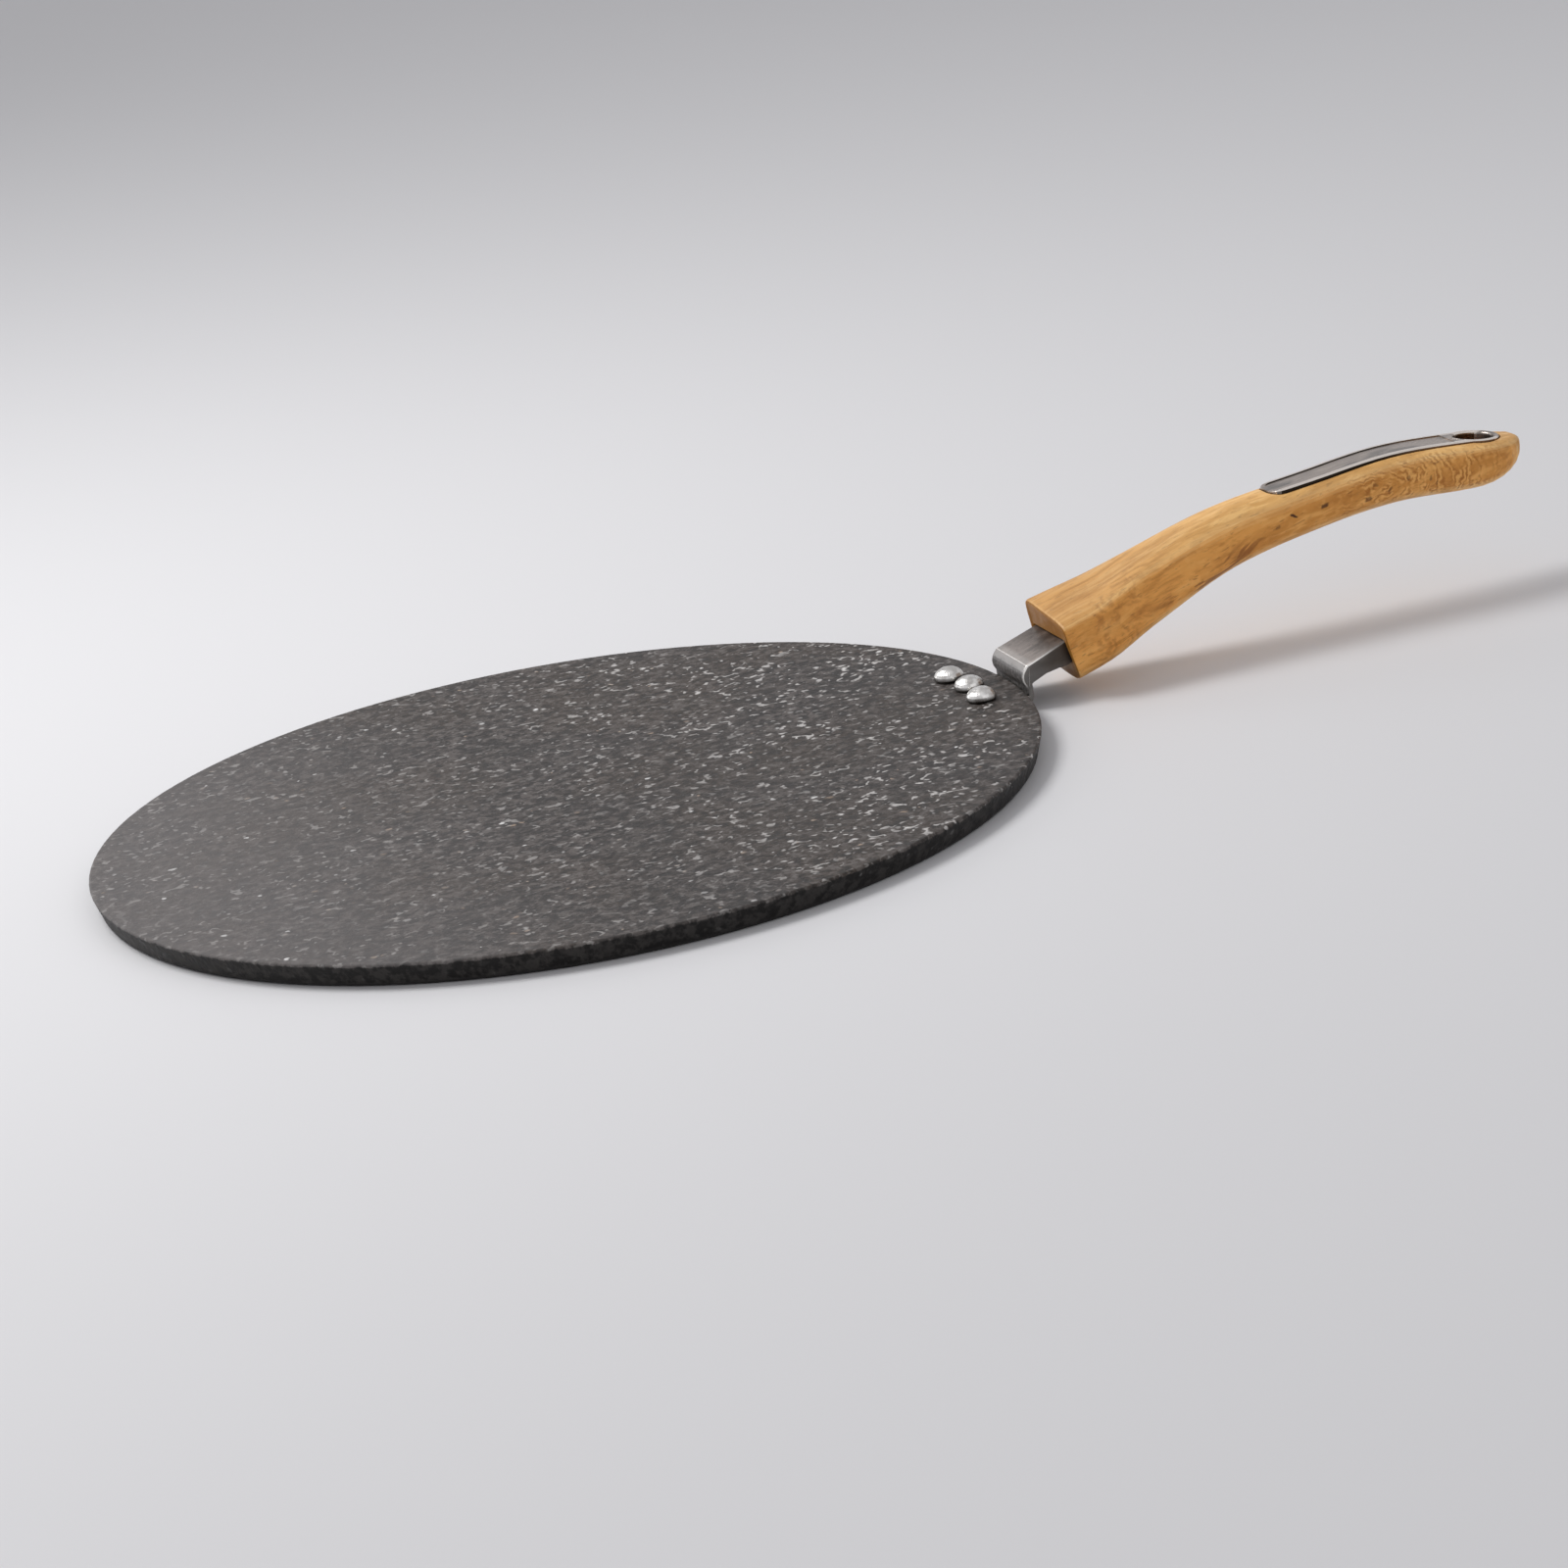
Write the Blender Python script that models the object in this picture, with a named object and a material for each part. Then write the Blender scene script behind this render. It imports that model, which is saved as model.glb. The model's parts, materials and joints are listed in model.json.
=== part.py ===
"""A flat tawa: a coated cast disc, a riveted channel bracket and a curved grip with a steel inlay.

Lengths are metres and angles are radians. The base of the disc lies on z = 0 with its centre at the
origin, +Z is up and the handle points along +X.
"""

import math

import bmesh
import bpy
from mathutils import Vector

# Clearances
SEAT_GAP = 0.0003
HOLE_CLEARANCE = 0.0003
POCKET_CLEARANCE = 0.0005
SOCKET_TOP_CLEARANCE = 0.0004
SOCKET_SIDE_CLEARANCE = 0.0010
INLAY_CLEARANCE = 0.0004
# How far a cutting shape runs past the surface that it cuts
CUT_PAST = 0.0060

# Disc
DISC_RADIUS = 0.1400
DISC_THICKNESS = 0.0070
DISC_DRAFT = 0.0016
DISC_TOP_EDGE = 0.0007
DISC_BASE_EDGE = 0.0014
DISC_SEGMENTS = 116
BASE_GROOVE_COUNT = 3
BASE_GROOVE_FIRST = 0.0320
BASE_GROOVE_STEP = 0.0260
BASE_GROOVE_WIDTH = 0.0018
BASE_GROOVE_DEPTH = 0.0006

# Rivets, placed from the rim and from the middle rivet
RIVET_INSET = 0.0126
RIVET_PITCH = 0.0137
RIVET_BOW = 0.0013
RIVET_HEAD_DIAMETER = 0.0092
RIVET_HEAD_HEIGHT = 0.0040
RIVET_HEAD_LIP = 0.0006
RIVET_HEAD_STEPS = 6
RIVET_SHANK_DIAMETER = 0.0050
RIVET_TAIL_DIAMETER = 0.0078
RIVET_TAIL_HEIGHT = 0.0010
RIVET_TAIL_CHAMFER = 0.0005
RIVET_TAIL_RISE = 0.0004
RIVET_SEGMENTS = 28

# Bracket, a pressed channel whose flange lies in a pocket under the disc
SHEET = 0.0020
FLANGE_SIDE_MARGIN = 0.0066
FLANGE_INNER_MARGIN = 0.0070
FLANGE_CORNER = 0.0050
FLANGE_NECK = 0.0060
FOOT_BEND = 0.0008
RISER_GAP = 0.0008
RISER_FOOT_RISE = 0.0003
RISER_FOOT_BEND = 0.0013
RISER_NOSE_REACH = 0.0018
RISER_NOSE_RISE = 0.0034
RISER_NOSE_BEND = 0.0041
CREST_RISE = 0.0067
CREST_FORWARD = 0.0010
CREST_BEND = 0.0010
BRACKET_WIDTH = 0.0260
ARM_END_WIDTH = 0.0190
ARM_SLOPE = math.radians(19.0)
ARM_LENGTH = 0.0520
CHANNEL_DEPTH = 0.0070
WALL_FOOT_RISE = 0.0010
WALL_ARCH_PLACE = 0.0044
WALL_ARCH_DEPTH = 0.0050
WALL_ARCH_BEND = 0.0210
EDGE_ROUND = 0.0010
EDGE_ROUND_STEPS = 3

# Grip: heights are measured from the point where the top of the arm enters it, and the chin is how far
# the lowest point of its front draws back
GRIP_SETBACK = 0.0145
GRIP_LENGTH = 0.1597
GRIP_FRONT_LEAN = math.radians(9.5)
GRIP_FRONT_ROUND = 0.0008
GRIP_FRONT_STEPS = 2
GRIP_CHIN = 0.0024
GRIP_TWIST = math.radians(6.5)
GRIP_TWIST_START = 0.0080
GRIP_TWIST_END = 0.0320
GRIP_POINTS = 44
GRIP_STATIONS = 34
# share of the length, top, bottom, half width, corner squareness, crown
GRIP_SHAPE = (
    (0.000, 0.0076, -0.0141, 0.0155, 10.0, 0.0008),
    (0.100, 0.0116, -0.0102, 0.0146, 8.0, 0.0008),
    (0.200, 0.0172, -0.0038, 0.0135, 5.0, 0.0010),
    (0.375, 0.0255, 0.0074, 0.0121, 3.0, 0.0012),
    (0.565, 0.0290, 0.0133, 0.0118, 2.8, 0.0009),
    (0.720, 0.0311, 0.0155, 0.0121, 3.4, 0.0007),
    (0.875, 0.0296, 0.0141, 0.0123, 4.2, 0.0005),
    (1.000, 0.0272, 0.0142, 0.0120, 4.2, 0.0004),
)
GRIP_BELLY = 2.4
GRIP_END_PLAN_ROUND = 0.0160
GRIP_END_TOP_ROUND = 0.0022
GRIP_END_BELLY_LENGTH = 0.0175
GRIP_END_BELLY_RISE = 0.0114
GRIP_END_STEPS = 8
GRIP_END_TURN = math.radians(84.0)

# Inlay plate and the eyelet that it ends in
INLAY_START = 0.0748
INLAY_FRONT_WIDTH = 0.0126
INLAY_REAR_WIDTH = 0.0144
INLAY_THICKNESS = 0.0014
INLAY_PROUD = 0.0004
INLAY_TIP_ROUND = 0.0045
INLAY_EDGE = 0.0004
INLAY_RIM = 0.0015
INLAY_PANEL_DEPTH = 0.0003
INLAY_TIP_STEPS = 5
INLAY_STATIONS = 15
EYELET_INSET = 0.0143
EYELET_OUTER_DIAMETER = 0.0158
EYELET_BORE = 0.0126
EYELET_FLARE = 0.0009
EYELET_COLLAR_WALL = 0.0008
EYELET_COLLAR_DEPTH = 0.0060
EYELET_SEGMENTS = 36
PEG_DIAMETER = 0.0030
PEG_LENGTH = 0.0045
PEG_PLACES = (0.0120, 0.0480)
PEG_SEGMENTS = 16

# Screw that holds the grip on the arm, set back from the arm's end
SCREW_SETBACK = 0.0145
SCREW_DIAMETER = 0.0048
SCREW_TIP_CHAMFER = 0.0003
SCREW_HEAD_DIAMETER = 0.0086
SCREW_HEAD_HEIGHT = 0.0024
SCREW_HEAD_ROUND = 0.0014
SCREW_SLOT_DEPTH = 0.0012
SCREW_SLOT_WIDTH = 0.0011
SCREW_WALL = 0.0034
SCREW_SEGMENTS = 24
WASHER_DIAMETER = 0.0082
WASHER_THICKNESS = 0.0012
COUNTERBORE_DIAMETER = 0.0104
NUT_ACROSS_FLATS = 0.0080
NUT_HEIGHT = 0.0038

# Places that follow from the sizes above
RIVET_TAIL_TOP = RIVET_TAIL_RISE + RIVET_TAIL_HEIGHT
FLANGE_BOTTOM = RIVET_TAIL_TOP + SEAT_GAP
FLANGE_TOP = FLANGE_BOTTOM + SHEET
POCKET_CEILING = FLANGE_TOP + SEAT_GAP
MIDDLE_RIVET_X = DISC_RADIUS - RIVET_INSET
SIDE_RIVET_X = MIDDLE_RIVET_X - RIVET_BOW
FLANGE_END_X = SIDE_RIVET_X - FLANGE_INNER_MARGIN
RISER_X = DISC_RADIUS + RISER_GAP
ARM_START = Vector((RISER_X + CREST_FORWARD, 0.0, DISC_THICKNESS + CREST_RISE))
ARM_ALONG = Vector((math.cos(ARM_SLOPE), 0.0, math.sin(ARM_SLOPE)))
ARM_UP = Vector((-math.sin(ARM_SLOPE), 0.0, math.cos(ARM_SLOPE)))
GRIP_FRONT_X = DISC_RADIUS + GRIP_SETBACK
GRIP_ENTRY_Z = ARM_START.z + (GRIP_FRONT_X - ARM_START.x) * math.tan(ARM_SLOPE)
SOCKET_FLOOR = CHANNEL_DEPTH + SOCKET_TOP_CLEARANCE
INLAY_START_X = GRIP_FRONT_X + INLAY_START
INLAY_LOW = INLAY_PROUD - INLAY_THICKNESS
EYELET_X = GRIP_FRONT_X + GRIP_LENGTH - EYELET_INSET
SCREW_PLACE = ARM_LENGTH - SCREW_SETBACK
SCREW_SEAT = -SOCKET_FLOOR - SCREW_WALL


def clear_scene():
    for obj in list(bpy.data.objects):
        bpy.data.objects.remove(obj)


def make_material(name, colour, roughness, metallic):
    material = bpy.data.materials.new(name)
    material.use_nodes = True
    shader = material.node_tree.nodes["Principled BSDF"]
    shader.inputs["Base Color"].default_value = (*colour, 1.0)
    shader.inputs["Roughness"].default_value = roughness
    shader.inputs["Metallic"].default_value = metallic
    return material


def make_shading(name, angle):
    """A node group that shades a finished shape smooth, but keeps edges that turn more than this crisp."""
    group = bpy.data.node_groups.new(name, "GeometryNodeTree")
    group.interface.new_socket("Geometry", in_out="INPUT", socket_type="NodeSocketGeometry")
    group.interface.new_socket("Geometry", in_out="OUTPUT", socket_type="NodeSocketGeometry")
    source = group.nodes.new("NodeGroupInput")
    turn = group.nodes.new("GeometryNodeInputMeshEdgeAngle")
    shallow = group.nodes.new("FunctionNodeCompare")
    shallow.operation = "LESS_EQUAL"
    shallow.inputs["B"].default_value = angle
    shade = group.nodes.new("GeometryNodeSetShadeSmooth")
    shade.domain = "EDGE"
    result = group.nodes.new("NodeGroupOutput")
    group.links.new(turn.outputs["Unsigned Angle"], shallow.inputs["A"])
    group.links.new(shallow.outputs["Result"], shade.inputs["Shade Smooth"])
    group.links.new(source.outputs["Geometry"], shade.inputs["Geometry"])
    group.links.new(shade.outputs["Geometry"], result.inputs["Geometry"])
    return group


def make_object(name, bm, material=None):
    """Turns a bmesh into an object whose faces point outwards."""
    bmesh.ops.recalc_face_normals(bm, faces=bm.faces)
    mesh = bpy.data.meshes.new(name)
    bm.to_mesh(mesh)
    bm.free()
    mesh.shade_smooth()
    obj = bpy.data.objects.new(name, mesh)
    bpy.context.scene.collection.objects.link(obj)
    if material is not None:
        mesh.materials.append(material)
    return obj


def make_cutter(name, bm):
    cutter = make_object(name, bm)
    cutter.hide_render = True
    cutter.display_type = "WIRE"
    return cutter


def combine(obj, other, operation):
    modifier = obj.modifiers.new(other.name, "BOOLEAN")
    modifier.operation = operation
    modifier.solver = "EXACT"
    modifier.object = other


def cut(obj, name, bm, place=None):
    """Takes a shape out of an object; place puts the shape where it cuts."""
    cutter = make_cutter(name, bm)
    if place is not None:
        place(cutter)
    combine(obj, cutter, "DIFFERENCE")


def arc(centre, radius, start, end, steps):
    """Points of an arc in a plane, from the start angle to the end angle."""
    points = []
    for step in range(steps + 1):
        angle = start + (end - start) * step / steps
        points.append((centre[0] + radius * math.cos(angle), centre[1] + radius * math.sin(angle)))
    return points


def rounded(corners, turn_per_step=math.radians(14.0)):
    """A closed outline from (point, radius) corners, each rounded to its radius."""
    outline = []
    for index, (corner, radius) in enumerate(corners):
        before = (corners[index - 1][0] - corner).normalized()
        after = (corners[(index + 1) % len(corners)][0] - corner).normalized()
        if radius == 0.0:
            outline.append((corner.x, corner.y))
            continue
        turn = math.pi - before.angle(after)
        middle = (before + after).normalized()
        centre = corner + middle * radius / math.cos(turn / 2)
        towards = math.atan2(-middle.y, -middle.x)
        half = math.copysign(turn / 2, after.cross(before))
        steps = max(2, math.ceil(turn / turn_per_step))
        outline += arc(centre, radius, towards - half, towards + half, steps)
    return outline


def revolve(profile, segments):
    """Spins (radius, height) points, which run from the axis round to the axis, about Z."""
    bm = bmesh.new()
    verts = [bm.verts.new((radius, 0.0, height)) for radius, height in profile]
    edges = [bm.edges.new(pair) for pair in zip(verts, verts[1:])]
    bmesh.ops.spin(
        bm,
        geom=verts + edges,
        cent=(0.0, 0.0, 0.0),
        axis=(0.0, 0.0, 1.0),
        angle=math.tau,
        steps=segments,
    )
    bmesh.ops.remove_doubles(bm, verts=bm.verts, dist=1e-6)
    return bm


def revolve_ring(profile, segments):
    """Spins a closed loop of (radius, height) points that stays off the axis, about Z."""
    return revolve(profile + profile[:1], segments)


def prism(outline, low, high, place):
    """Extrudes a closed outline; place turns (along, across, height) into a point in space."""
    bm = bmesh.new()
    verts = [bm.verts.new(place(a, b, low)) for a, b in outline]
    face = bm.faces.new(verts)
    made = bmesh.ops.extrude_face_region(bm, geom=[face])
    top = [item for item in made["geom"] if isinstance(item, bmesh.types.BMVert)]
    shift = place(0.0, 0.0, high) - place(0.0, 0.0, low)
    bmesh.ops.translate(bm, verts=top, vec=shift)
    return bm


def upright(a, b, height):
    return Vector((a, b, height))


def sideways(a, b, height):
    """An outline in the XZ plane, extruded along Y."""
    return Vector((a, height, b))


def loft(rings):
    """Bridges each ring of points to the next and caps both ends."""
    bm = bmesh.new()
    loops = []
    for ring in rings:
        verts = [bm.verts.new(point) for point in ring]
        loops.append([bm.edges.new(pair) for pair in zip(verts, verts[1:] + verts[:1])])
        if ring is rings[0] or ring is rings[-1]:
            bm.faces.new(verts)
    for loop, following in zip(loops, loops[1:]):
        bmesh.ops.bridge_loops(bm, edges=loop + following)
    return bm


def cylinder(diameter, low, high, segments):
    radius = diameter / 2
    return revolve([(0.0, high), (radius, high), (radius, low), (0.0, low)], segments)


def draw_back(distance, reach):
    """The share by which a quarter-round end has drawn in, at this distance from its end."""
    left = min(max(1.0 - distance / reach, 0.0), 1.0)
    return 1.0 - math.sqrt(1.0 - left**2)


def arm_half_width(x):
    """Half the width of the arm, which narrows evenly from its crest to its end."""
    end_x = on_arm(ARM_LENGTH, 0.0, 0.0).x
    share = (x - ARM_START.x) / (end_x - ARM_START.x)
    return (BRACKET_WIDTH + (ARM_END_WIDTH - BRACKET_WIDTH) * share) / 2


def on_arm(along, across, above):
    """A point given along the arm's top face from its crest, across it and above it."""
    return ARM_START + ARM_ALONG * along + Vector((0.0, across, 0.0)) + ARM_UP * above


def put_on_arm(obj):
    """Stands an object on the arm's top at the screw, square to the arm."""
    obj.location = on_arm(SCREW_PLACE, 0.0, 0.0)
    obj.rotation_euler = (0.0, -ARM_SLOPE, 0.0)


def grip_shape_at(share):
    """Smooth values of the grip's shape table, as a cubic through its stations."""
    last = len(GRIP_SHAPE) - 2
    index = 0
    while index < last and share > GRIP_SHAPE[index + 1][0]:
        index += 1
    before, start = GRIP_SHAPE[max(index - 1, 0)], GRIP_SHAPE[index]
    end, after = GRIP_SHAPE[index + 1], GRIP_SHAPE[min(index + 2, last + 1)]
    span = end[0] - start[0]
    t = (share - start[0]) / span
    values = []
    for column in range(1, len(start)):
        leave = (end[column] - before[column]) / (end[0] - before[0]) * span
        arrive = (after[column] - start[column]) / (after[0] - start[0]) * span
        values.append(
            (2 * t**3 - 3 * t**2 + 1) * start[column]
            + (t**3 - 2 * t**2 + t) * leave
            + (3 * t**2 - 2 * t**3) * end[column]
            + (t**3 - t**2) * arrive
        )
    return values


def grip_top(x):
    """Height of the grip's top along its middle, behind its leaning front part."""
    return GRIP_ENTRY_Z + grip_shape_at((x - GRIP_FRONT_X) / GRIP_LENGTH)[0]


def grip_slope(x):
    return math.atan2(grip_top(x + SEAT_GAP) - grip_top(x - SEAT_GAP), 2 * SEAT_GAP)


def power(value, exponent):
    return math.copysign(abs(value) ** exponent, value)


def grip_twist(distance):
    """How far the section is turned about the grip's length: all of it at the front, then fading."""
    share = (distance - GRIP_TWIST_START) / (GRIP_TWIST_END - GRIP_TWIST_START)
    share = min(max(share, 0.0), 1.0)
    return GRIP_TWIST * (1.0 - share**2 * (3.0 - 2.0 * share))


def grip_ring(distance, inset):
    """One cross-section of the grip, this far behind its front face."""
    top, bottom, half_width, squareness, crown = grip_shape_at(distance / GRIP_LENGTH)
    to_end = GRIP_LENGTH - distance
    half_width = half_width * (1.0 - draw_back(to_end, GRIP_END_PLAN_ROUND)) - inset
    top -= GRIP_END_TOP_ROUND * draw_back(to_end, GRIP_END_TOP_ROUND) + crown + inset
    bottom += GRIP_END_BELLY_RISE * draw_back(to_end, GRIP_END_BELLY_LENGTH) + inset
    middle = (top + bottom) / 2
    fade = max(1.0 - distance / INLAY_START, 0.0)
    twist = grip_twist(distance)
    ring = []
    for index in range(GRIP_POINTS):
        angle = math.tau * (index + 0.5) / GRIP_POINTS
        upper = math.sin(angle) > 0
        exponent = 2.0 / (squareness if upper else GRIP_BELLY)
        across = power(math.cos(angle), exponent)
        rise = power(math.sin(angle), exponent)
        side = half_width * across
        height = rise * (top - middle)
        if upper:
            height += crown * (1.0 - across**2) * rise
        y = side * math.cos(twist) - height * math.sin(twist)
        z = middle + height * math.cos(twist) + side * math.sin(twist)
        chin = GRIP_CHIN * (min(z, 0.0) / GRIP_SHAPE[0][2]) ** 2
        x = GRIP_FRONT_X + distance - fade * (z * math.tan(GRIP_FRONT_LEAN) - chin)
        ring.append((x, y, GRIP_ENTRY_Z + z))
    return ring


def grip_rings():
    """Cross-sections from the rounded front face to the rounded end."""
    rings = []
    for step in range(GRIP_FRONT_STEPS):
        angle = math.pi / 2 * step / GRIP_FRONT_STEPS
        distance = GRIP_FRONT_ROUND * (1.0 - math.cos(angle))
        rings.append(grip_ring(distance, GRIP_FRONT_ROUND * (1.0 - math.sin(angle))))
    even = GRIP_LENGTH - GRIP_END_PLAN_ROUND - GRIP_FRONT_ROUND
    for step in range(GRIP_STATIONS):
        rings.append(grip_ring(GRIP_FRONT_ROUND + even * step / GRIP_STATIONS, 0.0))
    for step in range(GRIP_END_STEPS):
        angle = GRIP_END_TURN * step / (GRIP_END_STEPS - 1)
        rings.append(grip_ring(GRIP_LENGTH - GRIP_END_PLAN_ROUND * (1.0 - math.sin(angle)), 0.0))
    return rings


def inlay_half_width(x, margin):
    """Half the width, at x, of the inlay's outline grown by a margin: tapered, with a rounded tip."""
    share = (x - INLAY_START_X) / (EYELET_X - INLAY_START_X)
    width = INLAY_FRONT_WIDTH + (INLAY_REAR_WIDTH - INLAY_FRONT_WIDTH) * share
    tip = INLAY_TIP_ROUND + margin
    return width / 2 + margin - tip * draw_back(x - INLAY_START_X + margin, tip)


def inlay_strip(margin, end, low, high, edge=0.0):
    """A strip along the grip's top with the inlay's outline grown by a margin, as far as end."""
    tip = INLAY_TIP_ROUND + margin
    start = INLAY_START_X - margin
    turns = [math.pi / 2 * i / INLAY_TIP_STEPS for i in range(INLAY_TIP_STEPS)]
    places = [start + tip * (1.0 - math.cos(turn)) for turn in turns]
    places += [start + tip + (end - start - tip) * i / INLAY_STATIONS for i in range(INLAY_STATIONS + 1)]
    rings = []
    for x in places:
        half = inlay_half_width(x, margin)
        z = grip_top(x)
        right = [(-half, z + low), (-half, z + high - edge)]
        if edge:
            right.append((-half + edge, z + high))
        left = [(-y, height) for y, height in reversed(right)]
        rings.append([Vector((x, y, height)) for y, height in right + left])
    return loft(rings)


def put_on_eyelet_axis(obj):
    """Stands an object on the grip's top at the eyelet, square to the surface there."""
    obj.location = (EYELET_X, 0.0, grip_top(EYELET_X))
    obj.rotation_euler = (0.0, -grip_slope(EYELET_X), 0.0)


def put_peg(place):
    """Returns what stands a peg on the grip's top at this place along the inlay."""

    def put(obj):
        x = INLAY_START_X + place
        obj.location = (x, 0.0, grip_top(x))

    return put


def in_side_view(along, above):
    point = on_arm(along, 0.0, above)
    return Vector((point.x, point.z))


def sheet_line():
    """Corners of the sheet's upper face, from inside the flange to the arm's end, with their bends."""
    return [
        (Vector((MIDDLE_RIVET_X, FLANGE_TOP)), 0.0),
        (Vector((RISER_X, FLANGE_TOP)), FOOT_BEND),
        (Vector((RISER_X, DISC_THICKNESS + RISER_FOOT_RISE)), RISER_FOOT_BEND),
        (Vector((RISER_X - RISER_NOSE_REACH, DISC_THICKNESS + RISER_NOSE_RISE)), RISER_NOSE_BEND),
        (in_side_view(0.0, 0.0), CREST_BEND),
        (in_side_view(ARM_LENGTH, 0.0), 0.0),
    ]


def under_sheet(index):
    """The corner of the sheet's lower face that goes with this corner of its upper face."""
    line = sheet_line()
    corner = line[index][0]
    before = (line[index - 1][0] - corner).normalized()
    after = (line[index + 1][0] - corner).normalized()
    reach = math.copysign(SHEET / math.sin(before.angle(after) / 2), after.cross(before))
    return corner - (before + after).normalized() * reach


def bracket_side():
    """Outline of the bracket from the side: the end of its flange, its riser, arm and side walls."""
    mouth = (GRIP_FRONT_X - ARM_START.x - CHANNEL_DEPTH * math.sin(ARM_SLOPE)) / math.cos(ARM_SLOPE)
    corners = sheet_line()
    corners.append((in_side_view(ARM_LENGTH, -CHANNEL_DEPTH), 0.0))
    corners.append((in_side_view(mouth, -CHANNEL_DEPTH), 0.0))
    corners.append((in_side_view(WALL_ARCH_PLACE, -WALL_ARCH_DEPTH), WALL_ARCH_BEND))
    corners.append((Vector((RISER_X + SHEET, DISC_THICKNESS + WALL_FOOT_RISE)), 0.0))
    corners.append((under_sheet(1), FOOT_BEND + SHEET))
    corners.append((Vector((MIDDLE_RIVET_X, FLANGE_BOTTOM)), 0.0))
    return rounded(corners)


def channel_hollow():
    """The space between the side walls, below the arm's sheet and outside its riser."""
    end = in_side_view(ARM_LENGTH + CUT_PAST, -SHEET)
    corners = [
        (Vector((RISER_X + SHEET, FLANGE_TOP)), 0.0),
        (under_sheet(2), RISER_FOOT_BEND + SHEET),
        (under_sheet(3), RISER_NOSE_BEND - SHEET),
        (under_sheet(4), 0.0),
        (end, 0.0),
        (Vector((end.x, FLANGE_TOP)), 0.0),
    ]
    return rounded(corners)


def tapered_prism(outline, inset):
    """An outline in the XZ plane, extruded both ways to the arm's sides less an inset."""
    bm = prism(outline, -CUT_PAST, CUT_PAST, sideways)
    for vert in bm.verts:
        vert.co.y = math.copysign(arm_half_width(vert.co.x) - inset, vert.co.y)
    return bm


def on_cover(point):
    """Whether a point lies on the upper face of the riser or the arm."""
    if point.z < FLANGE_TOP + FOOT_BEND - SEAT_GAP:
        return False
    return point.x < RISER_X + SHEET / 2 or (point - ARM_START).dot(ARM_UP) > -SHEET / 2


def arm_mesh():
    """The riser and arm as one solid, with its long outer edges rounded."""
    bm = tapered_prism(bracket_side(), 0.0)
    edges = []
    for edge in bm.edges:
        first, second = [vert.co for vert in edge.verts]
        if on_cover(first) and on_cover(second) and first.y * second.y > 0:
            edges.append(edge)
    bmesh.ops.bevel(
        bm, geom=edges, offset=EDGE_ROUND, segments=EDGE_ROUND_STEPS, profile=0.5, affect="EDGES"
    )
    return bm


def plan_outline(half_corners):
    """A closed outline from the corners of its +Y half."""
    other_half = [(Vector((point.x, -point.y)), radius) for point, radius in reversed(half_corners)]
    return rounded(half_corners + other_half)


def flange_corners(margin):
    """Corners of the +Y half of the flange's outline, grown by a margin."""
    wide = RIVET_PITCH + FLANGE_SIDE_MARGIN + margin
    neck = DISC_RADIUS - FLANGE_NECK + margin
    radius = FLANGE_CORNER + margin
    return [(Vector((FLANGE_END_X - margin, wide)), radius), (Vector((neck, wide)), radius)]


def pocket_outline():
    """Outline of the disc's pocket: the flange's, opened to the rim where the riser passes."""
    corners = flange_corners(POCKET_CLEARANCE)
    narrow = arm_half_width(corners[-1][0].x) + POCKET_CLEARANCE
    corners.append((Vector((corners[-1][0].x, narrow)), 0.0))
    corners.append((Vector((DISC_RADIUS + CUT_PAST, narrow)), 0.0))
    return plan_outline(corners)


def disc_profile():
    """The disc's outline from the middle of its top, round the rim, to the middle of its base."""
    profile = [(0.0, DISC_THICKNESS)]
    top_centre = (DISC_RADIUS - DISC_TOP_EDGE, DISC_THICKNESS - DISC_TOP_EDGE)
    profile += arc(top_centre, DISC_TOP_EDGE, math.pi / 2, 0.0, 3)
    base_radius = DISC_RADIUS - DISC_DRAFT
    profile += arc((base_radius - DISC_BASE_EDGE, DISC_BASE_EDGE), DISC_BASE_EDGE, 0.0, -math.pi / 2, 4)
    for index in reversed(range(BASE_GROOVE_COUNT)):
        radius = BASE_GROOVE_FIRST + index * BASE_GROOVE_STEP
        half = BASE_GROOVE_WIDTH / 2
        slant = BASE_GROOVE_DEPTH / 2
        profile += [(radius + half, 0.0), (radius + half - slant, BASE_GROOVE_DEPTH)]
        profile += [(radius - half + slant, BASE_GROOVE_DEPTH), (radius - half, 0.0)]
    profile.append((0.0, 0.0))
    return profile


def rivet_places():
    return {
        "rivet_left": (SIDE_RIVET_X, RIVET_PITCH, 0.0),
        "rivet_centre": (MIDDLE_RIVET_X, 0.0, 0.0),
        "rivet_right": (SIDE_RIVET_X, -RIVET_PITCH, 0.0),
    }


def cut_rivet_holes(obj):
    diameter = RIVET_SHANK_DIAMETER + 2 * HOLE_CLEARANCE
    for name, place in rivet_places().items():
        hole = cylinder(diameter, -CUT_PAST, DISC_THICKNESS + CUT_PAST, RIVET_SEGMENTS)
        cutter = make_cutter(f"{obj.name}_{name}_cutter", hole)
        cutter.location = place
        combine(obj, cutter, "DIFFERENCE")


def screw_hole(low, high):
    return cylinder(SCREW_DIAMETER + 2 * HOLE_CLEARANCE, low, high, SCREW_SEGMENTS)


def build_disc(material):
    disc = make_object("pan_disc", revolve(disc_profile(), DISC_SEGMENTS), material)
    cut(disc, "bracket_pocket_cutter", prism(pocket_outline(), -CUT_PAST, POCKET_CEILING, upright))
    cut_rivet_holes(disc)
    return [disc]


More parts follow.
